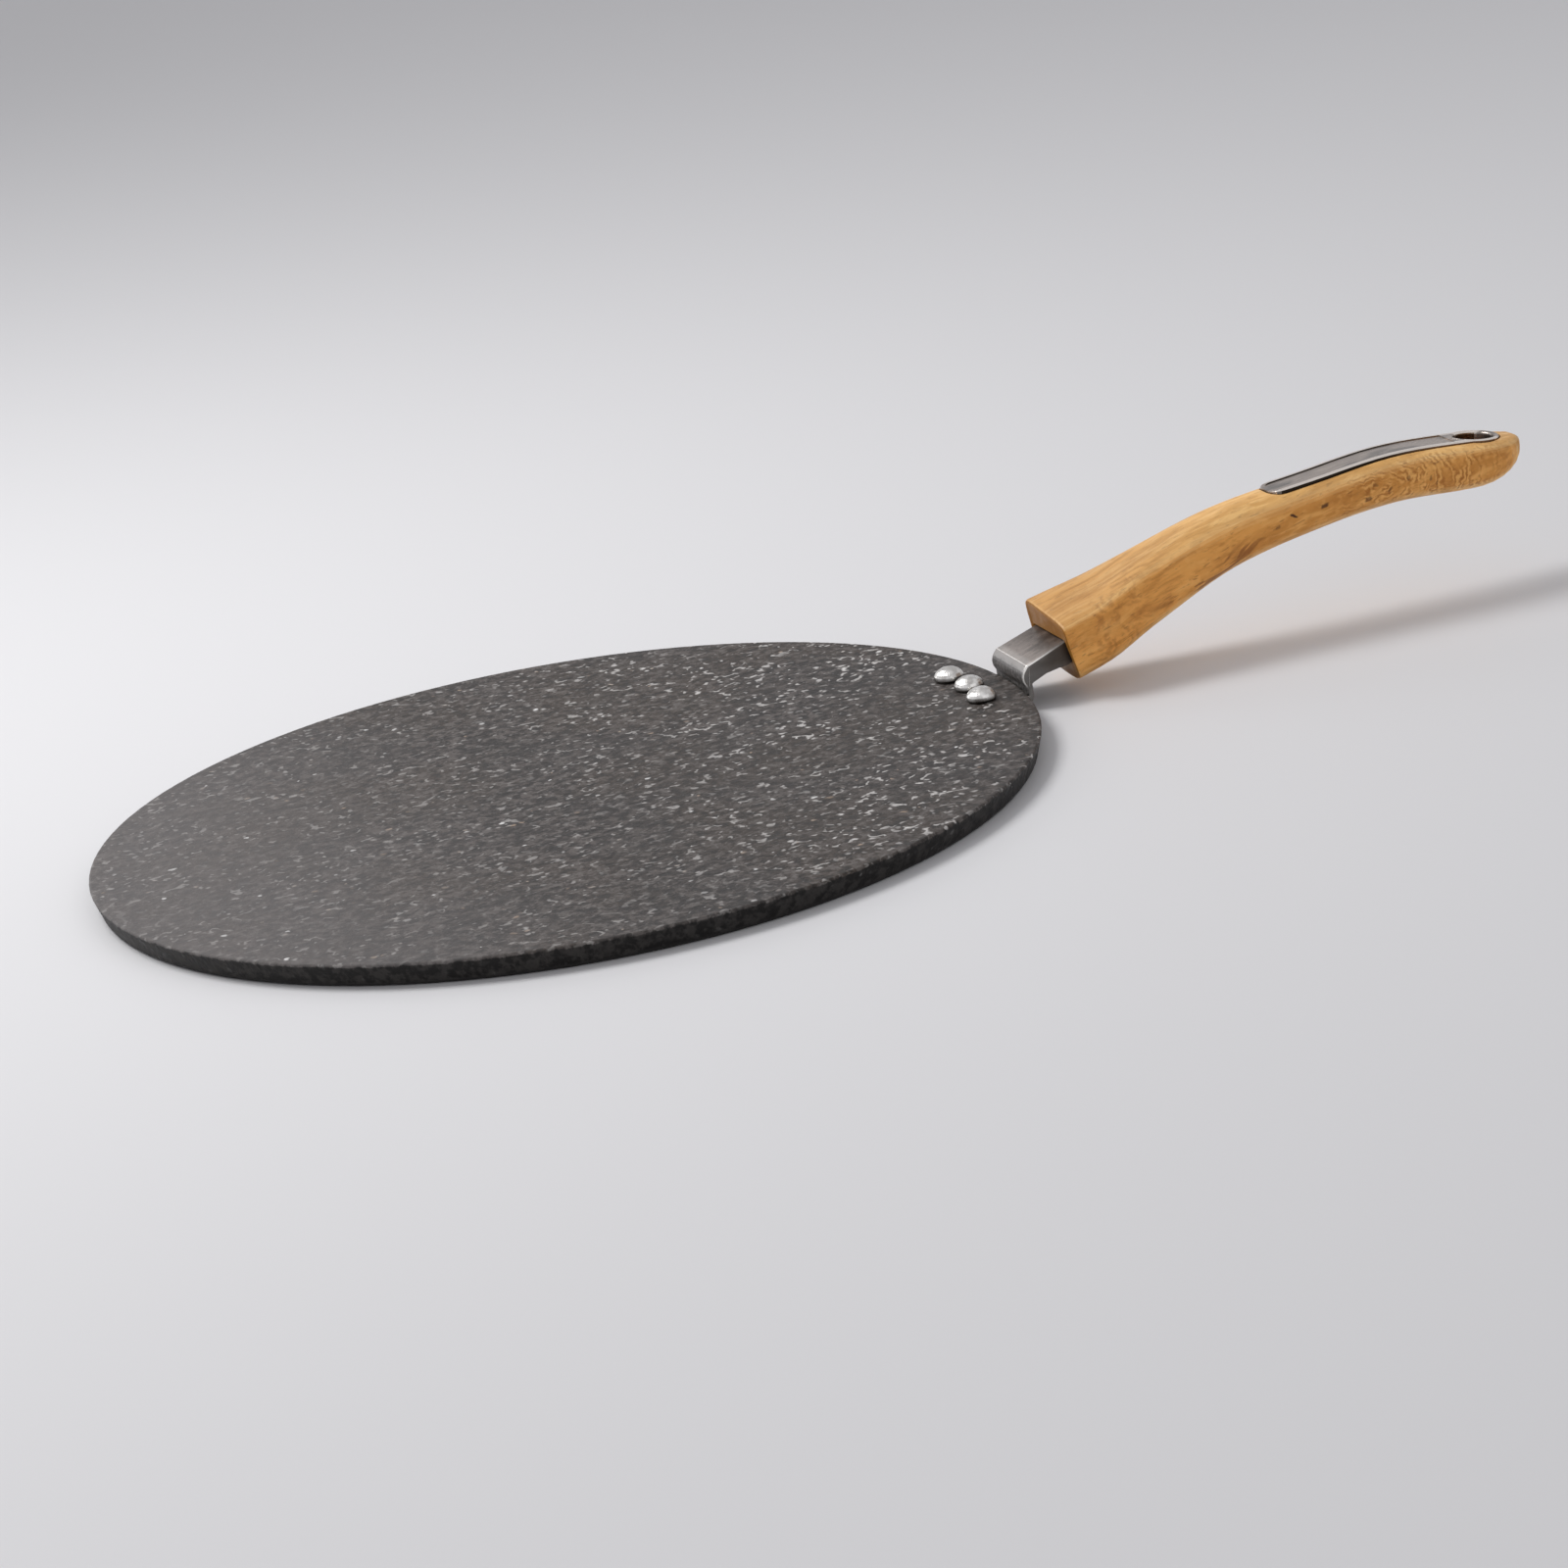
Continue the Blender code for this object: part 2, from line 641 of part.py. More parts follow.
def build_rivets(material):
    """Domed heads on the cooking face, shanks through disc and flange, and tails formed under it."""
    head = RIVET_HEAD_DIAMETER / 2
    shank = RIVET_SHANK_DIAMETER / 2
    tail = RIVET_TAIL_DIAMETER / 2
    base = DISC_THICKNESS + SEAT_GAP
    dome_base = base + RIVET_HEAD_LIP
    dome = RIVET_HEAD_HEIGHT - RIVET_HEAD_LIP
    profile = [(0.0, dome_base + dome)]
    for step in reversed(range(RIVET_HEAD_STEPS)):
        angle = math.pi / 2 * step / RIVET_HEAD_STEPS
        profile.append((head * math.cos(angle), dome_base + dome * math.sin(angle)))
    profile += [(head - RIVET_HEAD_LIP / 2, base), (shank, base), (shank, RIVET_TAIL_TOP)]
    profile += [(tail, RIVET_TAIL_TOP), (tail - RIVET_TAIL_CHAMFER, RIVET_TAIL_RISE), (0.0, RIVET_TAIL_RISE)]
    rivets = []
    for name, place in rivet_places().items():
        rivet = make_object(name, revolve(profile, RIVET_SEGMENTS), material)
        rivet.location = place
        rivets.append(rivet)
    return rivets


def build_bracket(material):
    flange = prism(plan_outline(flange_corners(0.0)), FLANGE_BOTTOM, FLANGE_TOP, upright)
    bracket = make_object("handle_bracket", flange, material)
    combine(bracket, make_cutter("bracket_arm_body", arm_mesh()), "UNION")
    cut(bracket, "channel_cutter", tapered_prism(channel_hollow(), SHEET))
    cut_rivet_holes(bracket)
    cut(bracket, "bracket_screw_cutter", screw_hole(-SHEET - CUT_PAST, CUT_PAST), put_on_arm)
    return [bracket]


def socket_mesh():
    """The socket in the grip that takes the arm, with its side clearance."""
    bm = bmesh.new()
    corners = []
    for along in (-GRIP_SETBACK, ARM_LENGTH + SOCKET_TOP_CLEARANCE):
        half = arm_half_width(on_arm(along, 0.0, 0.0).x) + SOCKET_SIDE_CLEARANCE
        for above in (SOCKET_TOP_CLEARANCE, -SOCKET_FLOOR):
            for across in (half, -half):
                corners.append(bm.verts.new(on_arm(along, across, above)))
    bmesh.ops.convex_hull(bm, input=corners)
    bmesh.ops.dissolve_limit(bm, angle_limit=math.radians(1.0), verts=bm.verts, edges=bm.edges)
    edges = [edge for edge in bm.edges if edge.calc_length() > ARM_LENGTH]
    bmesh.ops.bevel(bm, geom=edges, offset=SOCKET_SIDE_CLEARANCE, segments=2, profile=0.5, affect="EDGES")
    return bm


def counterbored_hole():
    """The screw's way up through the grip, with a wider bore for its washer and head."""
    hole = SCREW_DIAMETER / 2 + HOLE_CLEARANCE
    bore = COUNTERBORE_DIAMETER / 2
    mouth = SCREW_SEAT - 2 * CUT_PAST
    profile = [(0.0, 0.0), (hole, 0.0), (hole, SCREW_SEAT), (bore, SCREW_SEAT), (bore, mouth), (0.0, mouth)]
    return revolve(profile, SCREW_SEGMENTS)


def eyelet_clearance_mesh():
    """What the eyelet needs cut from the grip: room for its ring and collar, and the hanging hole."""
    ring = EYELET_OUTER_DIAMETER / 2 + INLAY_CLEARANCE
    ring_floor = INLAY_LOW - SEAT_GAP
    collar = EYELET_BORE / 2 + EYELET_COLLAR_WALL + INLAY_CLEARANCE
    collar_floor = -EYELET_COLLAR_DEPTH - SEAT_GAP
    bore = EYELET_BORE / 2
    through = -GRIP_END_PLAN_ROUND - CUT_PAST
    profile = [(0.0, CUT_PAST), (ring, CUT_PAST), (ring, ring_floor), (collar, ring_floor)]
    profile += [(collar, collar_floor), (bore, collar_floor), (bore, through), (0.0, through)]
    return revolve(profile, EYELET_SEGMENTS)


def peg_mesh(clearance):
    """A locating peg under the inlay, measured from the grip's top."""
    top = (INLAY_PROUD + INLAY_LOW) / 2
    return cylinder(PEG_DIAMETER + 2 * clearance, -PEG_LENGTH - clearance, top, PEG_SEGMENTS)


def build_grip(material):
    grip = make_object("handle_grip", loft(grip_rings()), material)
    recess = inlay_strip(INLAY_CLEARANCE, EYELET_X, INLAY_LOW - SEAT_GAP, CUT_PAST)
    cut(grip, "inlay_recess_cutter", recess)
    cut(grip, "eyelet_cutter", eyelet_clearance_mesh(), put_on_eyelet_axis)
    for index, place in enumerate(PEG_PLACES):
        cut(grip, f"peg_cutter_{index + 1}", peg_mesh(INLAY_CLEARANCE), put_peg(place))
    cut(grip, "socket_cutter", socket_mesh())
    cut(grip, "counterbore_cutter", counterbored_hole(), put_on_arm)
    return [grip]


def build_inlay(material):
    """The steel plate let into the grip's top, with its raised rim, pegs and flared eyelet."""
    plate = inlay_strip(0.0, EYELET_X, INLAY_LOW, INLAY_PROUD, INLAY_EDGE)
    inlay = make_object("handle_inlay", plate, material)

    ring = EYELET_OUTER_DIAMETER / 2
    collar = EYELET_BORE / 2 + EYELET_COLLAR_WALL
    profile = [(0.0, INLAY_PROUD), (ring - INLAY_EDGE, INLAY_PROUD), (ring, INLAY_PROUD - INLAY_EDGE)]
    profile += [(ring, INLAY_LOW), (collar, INLAY_LOW), (collar, -EYELET_COLLAR_DEPTH)]
    profile.append((0.0, -EYELET_COLLAR_DEPTH))
    eyelet = make_cutter("eyelet_body", revolve(profile, EYELET_SEGMENTS))
    put_on_eyelet_axis(eyelet)
    combine(inlay, eyelet, "UNION")

    for index, place in enumerate(PEG_PLACES):
        peg = make_cutter(f"inlay_peg_{index + 1}", peg_mesh(0.0))
        put_peg(place)(peg)
        combine(inlay, peg, "UNION")

    bore = EYELET_BORE / 2
    flare = bore + EYELET_FLARE
    panel_end = EYELET_X - flare - INLAY_RIM
    panel = inlay_strip(-INLAY_RIM, panel_end, INLAY_PROUD - INLAY_PANEL_DEPTH, CUT_PAST)
    cut(inlay, "inlay_panel_cutter", panel)

    opening = [(0.0, CUT_PAST), (flare, CUT_PAST), (flare, INLAY_PROUD)]
    opening += arc((flare, INLAY_PROUD - EYELET_FLARE), EYELET_FLARE, math.pi / 2, math.pi, 4)
    opening += [(bore, -EYELET_COLLAR_DEPTH - CUT_PAST), (0.0, -EYELET_COLLAR_DEPTH - CUT_PAST)]
    cut(inlay, "eyelet_bore_cutter", revolve(opening, EYELET_SEGMENTS), put_on_eyelet_axis)
    return [inlay]


def build_screw(material):
    """A slotted pan-head screw, driven from below through the grip into the arm."""
    head = SCREW_HEAD_DIAMETER / 2
    shank = SCREW_DIAMETER / 2
    seat = SCREW_SEAT - 2 * SEAT_GAP - WASHER_THICKNESS
    tip = -SHEET / 2
    base = seat - SCREW_HEAD_HEIGHT
    profile = [(0.0, tip), (shank - SCREW_TIP_CHAMFER, tip), (shank, tip - SCREW_TIP_CHAMFER)]
    profile += [(shank, seat), (head, seat)]
    round_centre = (head - SCREW_HEAD_ROUND, base + SCREW_HEAD_ROUND)
    profile += arc(round_centre, SCREW_HEAD_ROUND, 0.0, -math.pi / 2, 4)
    profile.append((0.0, base))
    screw = make_object("handle_screw", revolve(profile, SCREW_SEGMENTS), material)
    put_on_arm(screw)
    half = SCREW_SLOT_WIDTH / 2
    outline = [(-SCREW_HEAD_DIAMETER, -half), (SCREW_HEAD_DIAMETER, -half)]
    outline += [(SCREW_HEAD_DIAMETER, half), (-SCREW_HEAD_DIAMETER, half)]
    slot = prism(outline, base - CUT_PAST, base + SCREW_SLOT_DEPTH, upright)
    cut(screw, "screw_slot_cutter", slot, put_on_arm)
    return [screw]


def build_washer(material):
    """A flat washer between the screw's head and the floor of its counterbore."""
    top = SCREW_SEAT - SEAT_GAP
    low = top - WASHER_THICKNESS
    inner = SCREW_DIAMETER / 2 + HOLE_CLEARANCE
    outer = WASHER_DIAMETER / 2
    profile = [(outer, top), (outer, low), (inner, low), (inner, top)]
    washer = make_object("screw_washer", revolve_ring(profile, SCREW_SEGMENTS), material)
    put_on_arm(washer)
    return [washer]


def build_nut(material):
    """A hexagon nut fixed under the arm's sheet, between the side walls."""
    top = -SHEET - SEAT_GAP
    low = top - NUT_HEIGHT
    corner = NUT_ACROSS_FLATS / 2 / math.cos(math.pi / 6)
    outline = [(corner * math.cos(i * math.pi / 3), corner * math.sin(i * math.pi / 3)) for i in range(6)]
    nut = make_object("bracket_nut", prism(outline, low, top, upright), material)
    put_on_arm(nut)
    cut(nut, "nut_thread_cutter", screw_hole(low - CUT_PAST, top + CUT_PAST), put_on_arm)
    return [nut]


def main():
    clear_scene()
    coating = make_material("granite_coating", (0.105, 0.100, 0.098), 0.62, 0.0)
    rivet_aluminium = make_material("rivet_aluminium", (0.80, 0.79, 0.77), 0.22, 1.0)
    bracket_steel = make_material("bracket_steel", (0.46, 0.46, 0.47), 0.36, 1.0)
    wood = make_material("wood_finish", (0.56, 0.33, 0.13), 0.48, 0.0)
    inlay_steel = make_material("inlay_steel", (0.62, 0.61, 0.60), 0.30, 1.0)
    fixing_steel = make_material("fixing_steel", (0.55, 0.55, 0.56), 0.35, 1.0)
    parts = build_disc(coating)
    parts += build_rivets(rivet_aluminium)
    parts += build_bracket(bracket_steel)
    parts += build_grip(wood)
    parts += build_inlay(inlay_steel)
    parts += build_screw(fixing_steel)
    parts += build_washer(fixing_steel)
    parts += build_nut(fixing_steel)
    shading = make_shading("shade_by_angle", math.radians(34.0))
    for part in parts:
        part.modifiers.new("shade_by_angle", "NODES").node_group = shading


main()
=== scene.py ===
"""The looks of a flat coated tawa with a riveted steel bracket and a wood-finish grip."""

import json
import math

import bpy
from mathutils import Matrix, Vector


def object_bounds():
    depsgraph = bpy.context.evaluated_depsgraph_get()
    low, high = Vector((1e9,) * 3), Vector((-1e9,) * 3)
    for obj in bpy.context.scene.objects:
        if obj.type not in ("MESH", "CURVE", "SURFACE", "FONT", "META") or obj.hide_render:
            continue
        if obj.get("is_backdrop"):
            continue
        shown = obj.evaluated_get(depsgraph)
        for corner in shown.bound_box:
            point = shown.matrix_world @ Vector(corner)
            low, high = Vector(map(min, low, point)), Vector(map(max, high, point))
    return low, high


MM = 0.001

# Camera: place in metres, angles in degrees, lens and sensor in millimetres
CAMERA_PLACE = (-0.2876, -1.2414, 0.3920)
CAMERA_AZIMUTH = -15.89
CAMERA_ELEVATION = 17.21
CAMERA_ROLL = 9.20
CAMERA_LENS = 104.74
CAMERA_SENSOR = 36.0
CAMERA_NEAREST = 0.01

# Stage
FLOOR_SIZE = 14.0
FLOOR_DROP = 0.1 * MM
FLOOR_COLOUR = (0.74, 0.735, 0.745)
FLOOR_ROUGHNESS = 0.55
FLOOR_SHINE = 0.25
SKY_COLOUR = (0.95, 0.95, 0.98)
SKY_STRENGTH = 0.50
SHOWN_BACKGROUND = (0.62, 0.62, 0.64)
# Square lamps: name, place, width and power
SOFTBOXES = (
    ("key", (-0.46, 0.40, 0.95), 0.50, 8.0),
    ("fill", (0.30, -1.30, 0.80), 0.90, 1.0),
    ("back", (-0.80, 1.40, 0.60), 0.60, 2.5),
)


class Shader:
    """A material and short ways to add and join its nodes."""

    def __init__(self, name):
        self.material = bpy.data.materials.new(name)
        self.material.use_nodes = True
        self.tree = self.material.node_tree
        self.surface = self.tree.nodes["Principled BSDF"]
        self.position = self.node("ShaderNodeTexCoord").outputs["Object"]

    def node(self, kind, **settings):
        """Adds a node of this kind with these settings."""
        node = self.tree.nodes.new(kind)
        for name, value in settings.items():
            setattr(node, name, value)
        return node

    def feed(self, socket, value):
        """Joins a socket to an output, or sets it to a plain value."""
        if isinstance(value, bpy.types.NodeSocket):
            self.tree.links.new(value, socket)
        else:
            socket.default_value = value

    def set(self, **values):
        """Sets the surface's sockets, named with _ for each space."""
        for name, value in values.items():
            self.feed(self.surface.inputs[name.replace("_", " ")], value)

    def math(self, operation, first, second=0.0):
        """The result of an operation on one or two values."""
        node = self.node("ShaderNodeMath", operation=operation)
        self.feed(node.inputs[0], first)
        self.feed(node.inputs[1], second)
        return node.outputs[0]

    def times(self, value, *shares):
        """The product of two or more values."""
        for share in shares:
            value = self.math("MULTIPLY", value, share)
        return value

    def off_middle(self, noise):
        """How far a noise lies from its middle value, either way."""
        return self.math("ABSOLUTE", self.math("SUBTRACT", noise, 0.5))

    def swing(self, noise, reach):
        """A noise made to swing about 0, by half of reach either way."""
        return self.times(self.math("SUBTRACT", noise, 0.5), reach)

    def ramp(self, value, low, high, start=0.0, end=1.0):
        """Maps a value smoothly from low..high to start..end, and holds it outside."""
        node = self.node("ShaderNodeMapRange", interpolation_type="SMOOTHSTEP")
        self.feed(node.inputs["Value"], value)
        self.feed(node.inputs["From Min"], low)
        self.feed(node.inputs["From Max"], high)
        self.feed(node.inputs["To Min"], start)
        self.feed(node.inputs["To Max"], end)
        return node.outputs["Result"]

    def band(self, value, low, high, soft):
        """1 where a value lies between two limits, with soft ends."""
        rise = self.ramp(value, low - soft, low + soft)
        return self.times(rise, self.ramp(value, high + soft, high - soft))

    def mix(self, share, first, second, blend="MIX"):
        """Blends two colours by a share."""
        node = self.node("ShaderNodeMix", data_type="RGBA", blend_type=blend)
        self.feed(node.inputs[0], share)
        for socket, value in ((node.inputs[6], first), (node.inputs[7], second)):
            self.feed(socket, value if isinstance(value, bpy.types.NodeSocket) else (*value, 1.0))
        return node.outputs[2]

    def bump(self, height, depth, normal=None):
        """A bump whose height of 1 stands this many metres proud."""
        node = self.node("ShaderNodeBump")
        self.feed(node.inputs["Height"], height)
        node.inputs["Distance"].default_value = depth
        if normal is not None:
            self.feed(node.inputs["Normal"], normal)
        return node.outputs["Normal"]

    def axis(self, name, source=None):
        """The position along X, Y or Z, in metres."""
        node = self.node("ShaderNodeSeparateXYZ")
        self.feed(node.inputs[0], source or self.position)
        return node.outputs[name]

    def facing(self):
        """The three parts of the surface's own direction."""
        split = self.node("ShaderNodeSeparateXYZ")
        self.feed(split.inputs[0], self.node("ShaderNodeNewGeometry").outputs["Normal"])
        return split.outputs["X"], split.outputs["Y"], split.outputs["Z"]

    def moved(self, shift):
        """The position, shifted, so that a second noise differs from the first."""
        node = self.node("ShaderNodeVectorMath", operation="ADD")
        self.feed(node.inputs[0], self.position)
        node.inputs[1].default_value = shift
        return node.outputs[0]

    def warped(self, size, reach, source=None):
        """The position, pushed about by noise this large, by up to half of reach either way."""
        noise = self.node("ShaderNodeTexNoise")
        self.feed(noise.inputs["Vector"], source or self.position)
        noise.inputs["Scale"].default_value = 1.0 / size
        noise.inputs["Detail"].default_value = 1.0
        push = self.node("ShaderNodeVectorMath", operation="MULTIPLY_ADD")
        self.feed(push.inputs[0], noise.outputs["Color"])
        push.inputs[1].default_value = (reach, reach, reach)
        push.inputs[2].default_value = (-reach / 2, -reach / 2, -reach / 2)
        node = self.node("ShaderNodeVectorMath", operation="ADD")
        self.feed(node.inputs[0], push.outputs[0])
        self.feed(node.inputs[1], source or self.position)
        return node.outputs[0]

    def stretch(self, scale, turn=(0.0, 0.0, 0.0), source=None):
        """The position along axes turned by these degrees, scaled along each of them."""
        node = self.node("ShaderNodeMapping", vector_type="TEXTURE")
        self.feed(node.inputs["Vector"], source or self.position)
        # this kind of mapping turns first and divides by its scale afterwards; 0 gives 0
        node.inputs["Rotation"].default_value = [-math.radians(angle) for angle in turn]
        node.inputs["Scale"].default_value = [1.0 / value if value else 0.0 for value in scale]
        return node.outputs["Vector"]

    def noise(self, size, detail=2.0, roughness=0.5, source=None):
        """Noise whose features are about this many metres across."""
        node = self.node("ShaderNodeTexNoise")
        self.feed(node.inputs["Vector"], source or self.position)
        node.inputs["Scale"].default_value = 1.0 / size
        node.inputs["Detail"].default_value = detail
        node.inputs["Roughness"].default_value = roughness
        return node.outputs["Fac"]

    def streaks(self, per_metre, slope, detail=2.0, roughness=0.5, source=None):
        """Noise with this many features per metre along X, Y and Z, turned about Y."""
        stretched = self.stretch(per_metre, (0.0, slope, 0.0), source)
        return self.noise(1.0, detail, roughness, stretched)

    def brushed(self, length, width, slope):
        """Brush strokes this long and wide, laid along X and turned about Y."""
        per_metre = (1.0 / length, 1.0 / width, 1.0 / width)
        return self.streaks(per_metre, slope, detail=4.0, roughness=0.6)

    def cells(self, size, source):
        """Distance to the nearest scattered point, and two random values for each point."""
        node = self.node("ShaderNodeTexVoronoi")
        self.feed(node.inputs["Vector"], source)
        node.inputs["Scale"].default_value = 1.0 / size
        split = self.node("ShaderNodeSeparateColor")
        self.feed(split.inputs[0], node.outputs["Color"])
        return node.outputs["Distance"], split.outputs[0], split.outputs[1]


# Coating: colours of its ground
GROUND_GREY = (0.055, 0.0475, 0.0450)
GROUND_BROWN = (0.061, 0.0490, 0.042)
GROUND_PALE = (0.128, 0.113, 0.106)
GROUND_BLACK = (0.018, 0.0165, 0.0155)
GROUND_CLOUD = (0.048, 0.0435, 0.0415)
GROUND_WORM = (0.165, 0.153, 0.146)
GROUND_SHEEN = (0.190, 0.178, 0.176)
# Coating: colours of its marks, far from the handle and near it
GRAIN_FAR = (0.50, 0.48, 0.465)
GRAIN_NEAR = (0.78, 0.755, 0.735)
GRAIN_RUST = (0.46, 0.34, 0.25)
SQUIGGLE_FAR = (0.42, 0.40, 0.385)
SQUIGGLE_NEAR = (0.62, 0.595, 0.575)
CHIP = (0.72, 0.71, 0.70)
# Coating: colours of the disc's wall, darkened as painted shade, and of its base
WALL_SHADE_BLACK = (0.010, 0.009, 0.0085)
WALL_SHADE_GREY = (0.036, 0.033, 0.031)
WALL_CHIP = (0.42, 0.41, 0.40)
BASE_DARK = (0.020, 0.019, 0.0185)
BASE_PALE = (0.034, 0.032, 0.031)
# Coating: size of each feature, how high the raised ones stand, and its gloss
HUE_SIZE = 52 * MM
CLOUD_SIZE = 34 * MM
MOTTLE_SIZE = 2.8 * MM
WORM_SIZE = 3.9 * MM
DRIFT_SIZE = 20 * MM
GRAIN_SPACING = 3.1 * MM
SQUIGGLE_SIZE = 5.8 * MM
BREAK_SIZE = 3.6 * MM
CHIP_SPACING = 8.0 * MM
BASE_RING_SIZE = 0.55 * MM
LUMP_SIZE = 3.6 * MM
LUMP_HEIGHT = 0.40 * MM
PEBBLE_SIZE = 1.1 * MM
PEBBLE_HEIGHT = 0.14 * MM
MARK_HEIGHT = 0.14 * MM
COATING_ROUGHNESS = (0.50, 0.66)
COATING_SHINE = 0.20
# Coating: size and reach of the warps that make each mark ragged
WORM_WARP = (2.6 * MM, 2.1 * MM)
GRAIN_WARP = (4.2 * MM, 3.3 * MM)
SQUIGGLE_WARP = (3.0 * MM, 2.1 * MM)
CHIP_WARP = (2.4 * MM, 2.2 * MM)
# Coating: shifts that keep the noises apart
HUE_SHIFT = (0.4, 0.1, 0.0)
DRIFT_SHIFT = (0.2, 0.6, 0.0)
SQUIGGLE_SHIFT = (0.11, 0.43, 0.0)
BREAK_SHIFT = (0.31, 0.17, 0.05)
# Coating: where along X the disc gets smoother and paler with a painted sheen, and its marks
# crowd, fade and get brighter
SHEEN_X = (0.0, -125 * MM)
CROWD_X = (-110 * MM, 100 * MM)
CLEAR_X = (128 * MM, 134 * MM)
BRIGHT_X = (-10 * MM, 90 * MM)
# Coating: heights between which the wall turns into the top, and into the base
TOP_EDGE_Z = (5.9 * MM, 6.5 * MM)
TOP_EDGE_SWING = 1.8 * MM
BASE_EDGE_Z = (1.6 * MM, 0.4 * MM)


def coating_ground(s, mottle):
    """Mottled ground with faint worms, smoother far from the handle and paler there with a painted
    sheen.
    """
    hue = s.noise(HUE_SIZE, detail=1.0, source=s.moved(HUE_SHIFT))
    ground = s.mix(s.ramp(hue, 0.38, 0.62), GROUND_GREY, GROUND_BROWN)
    ground = s.mix(s.ramp(mottle, 0.50, 0.60, 0.0, 0.76), ground, GROUND_PALE)
    ground = s.mix(s.ramp(mottle, 0.49, 0.40, 0.0, 0.74), ground, GROUND_BLACK)
    cloud = s.noise(CLOUD_SIZE, detail=3.0)
    ground = s.mix(s.ramp(cloud, 0.35, 0.65, 0.0, 0.30), ground, GROUND_CLOUD)
    worms = s.noise(WORM_SIZE, detail=1.0, source=s.warped(*WORM_WARP))
    worms = s.ramp(s.off_middle(worms), 0.050, 0.012)
    worms = s.times(worms, s.ramp(mottle, 0.44, 0.56, 0.1, 0.5))
    ground = s.mix(worms, ground, GROUND_WORM)
    # painted sheen: towards -X, away from the handle, the ground turns smoother and paler
    painted_sheen = s.ramp(s.axis("X"), *SHEEN_X)
    return s.mix(s.times(painted_sheen, 0.46), ground, GROUND_SHEEN)


def coating_grains(s, crowd):
    """Pale grains of many sizes, and a random value for the tint of each."""
    away, pick, tint = s.cells(GRAIN_SPACING, s.warped(*GRAIN_WARP))
    reach = s.ramp(pick, 0.45, 1.0, 0.15, 0.38)
    grains = s.ramp(s.math("DIVIDE", away, reach), 1.05, 0.35)
    grains = s.times(grains, s.ramp(pick, 0.45, 0.50))
    strength = s.times(crowd, s.ramp(tint, 0.0, 0.7, 0.40, 1.0))
    return s.times(grains, strength), tint


def coating_squiggles(s, crowd):
    """Short pale squiggles: the middle lines of one noise, broken up by another."""
    warp = s.warped(*SQUIGGLE_WARP, s.moved(SQUIGGLE_SHIFT))
    line = s.noise(SQUIGGLE_SIZE, detail=1.5, source=warp)
    line = s.ramp(s.off_middle(line), 0.055, 0.018)
    broken = s.noise(BREAK_SIZE, detail=1.0, source=s.moved(BREAK_SHIFT))
    return s.times(line, s.ramp(broken, 0.55, 0.62), crowd)


def coating_chips(s, clear):
    """A few small bright chips."""
    away, pick, fresh = s.cells(CHIP_SPACING, s.warped(*CHIP_WARP))
    reach = s.ramp(fresh, 0.1, 1.0, 0.06, 0.15)
    chips = s.ramp(s.math("DIVIDE", away, reach), 1.0, 0.5)
    chips = s.times(chips, s.ramp(pick, 0.50, 0.53))
    strength = s.times(clear, s.ramp(pick, 0.50, 0.95, 0.35, 0.95))
    return s.times(chips, strength)


def coating_base(s):
    """The dark underside, with fine turned rings round the disc's axis."""
    radius = s.node("ShaderNodeVectorMath", operation="LENGTH")
    s.feed(radius.inputs[0], s.stretch((1.0, 1.0, 0.0)))
    outward = s.node("ShaderNodeCombineXYZ")
    s.feed(outward.inputs[0], radius.outputs["Value"])
    rings = s.noise(BASE_RING_SIZE, detail=2.0, source=outward.outputs[0])
    return s.mix(s.ramp(rings, 0.35, 0.65), BASE_DARK, BASE_PALE)


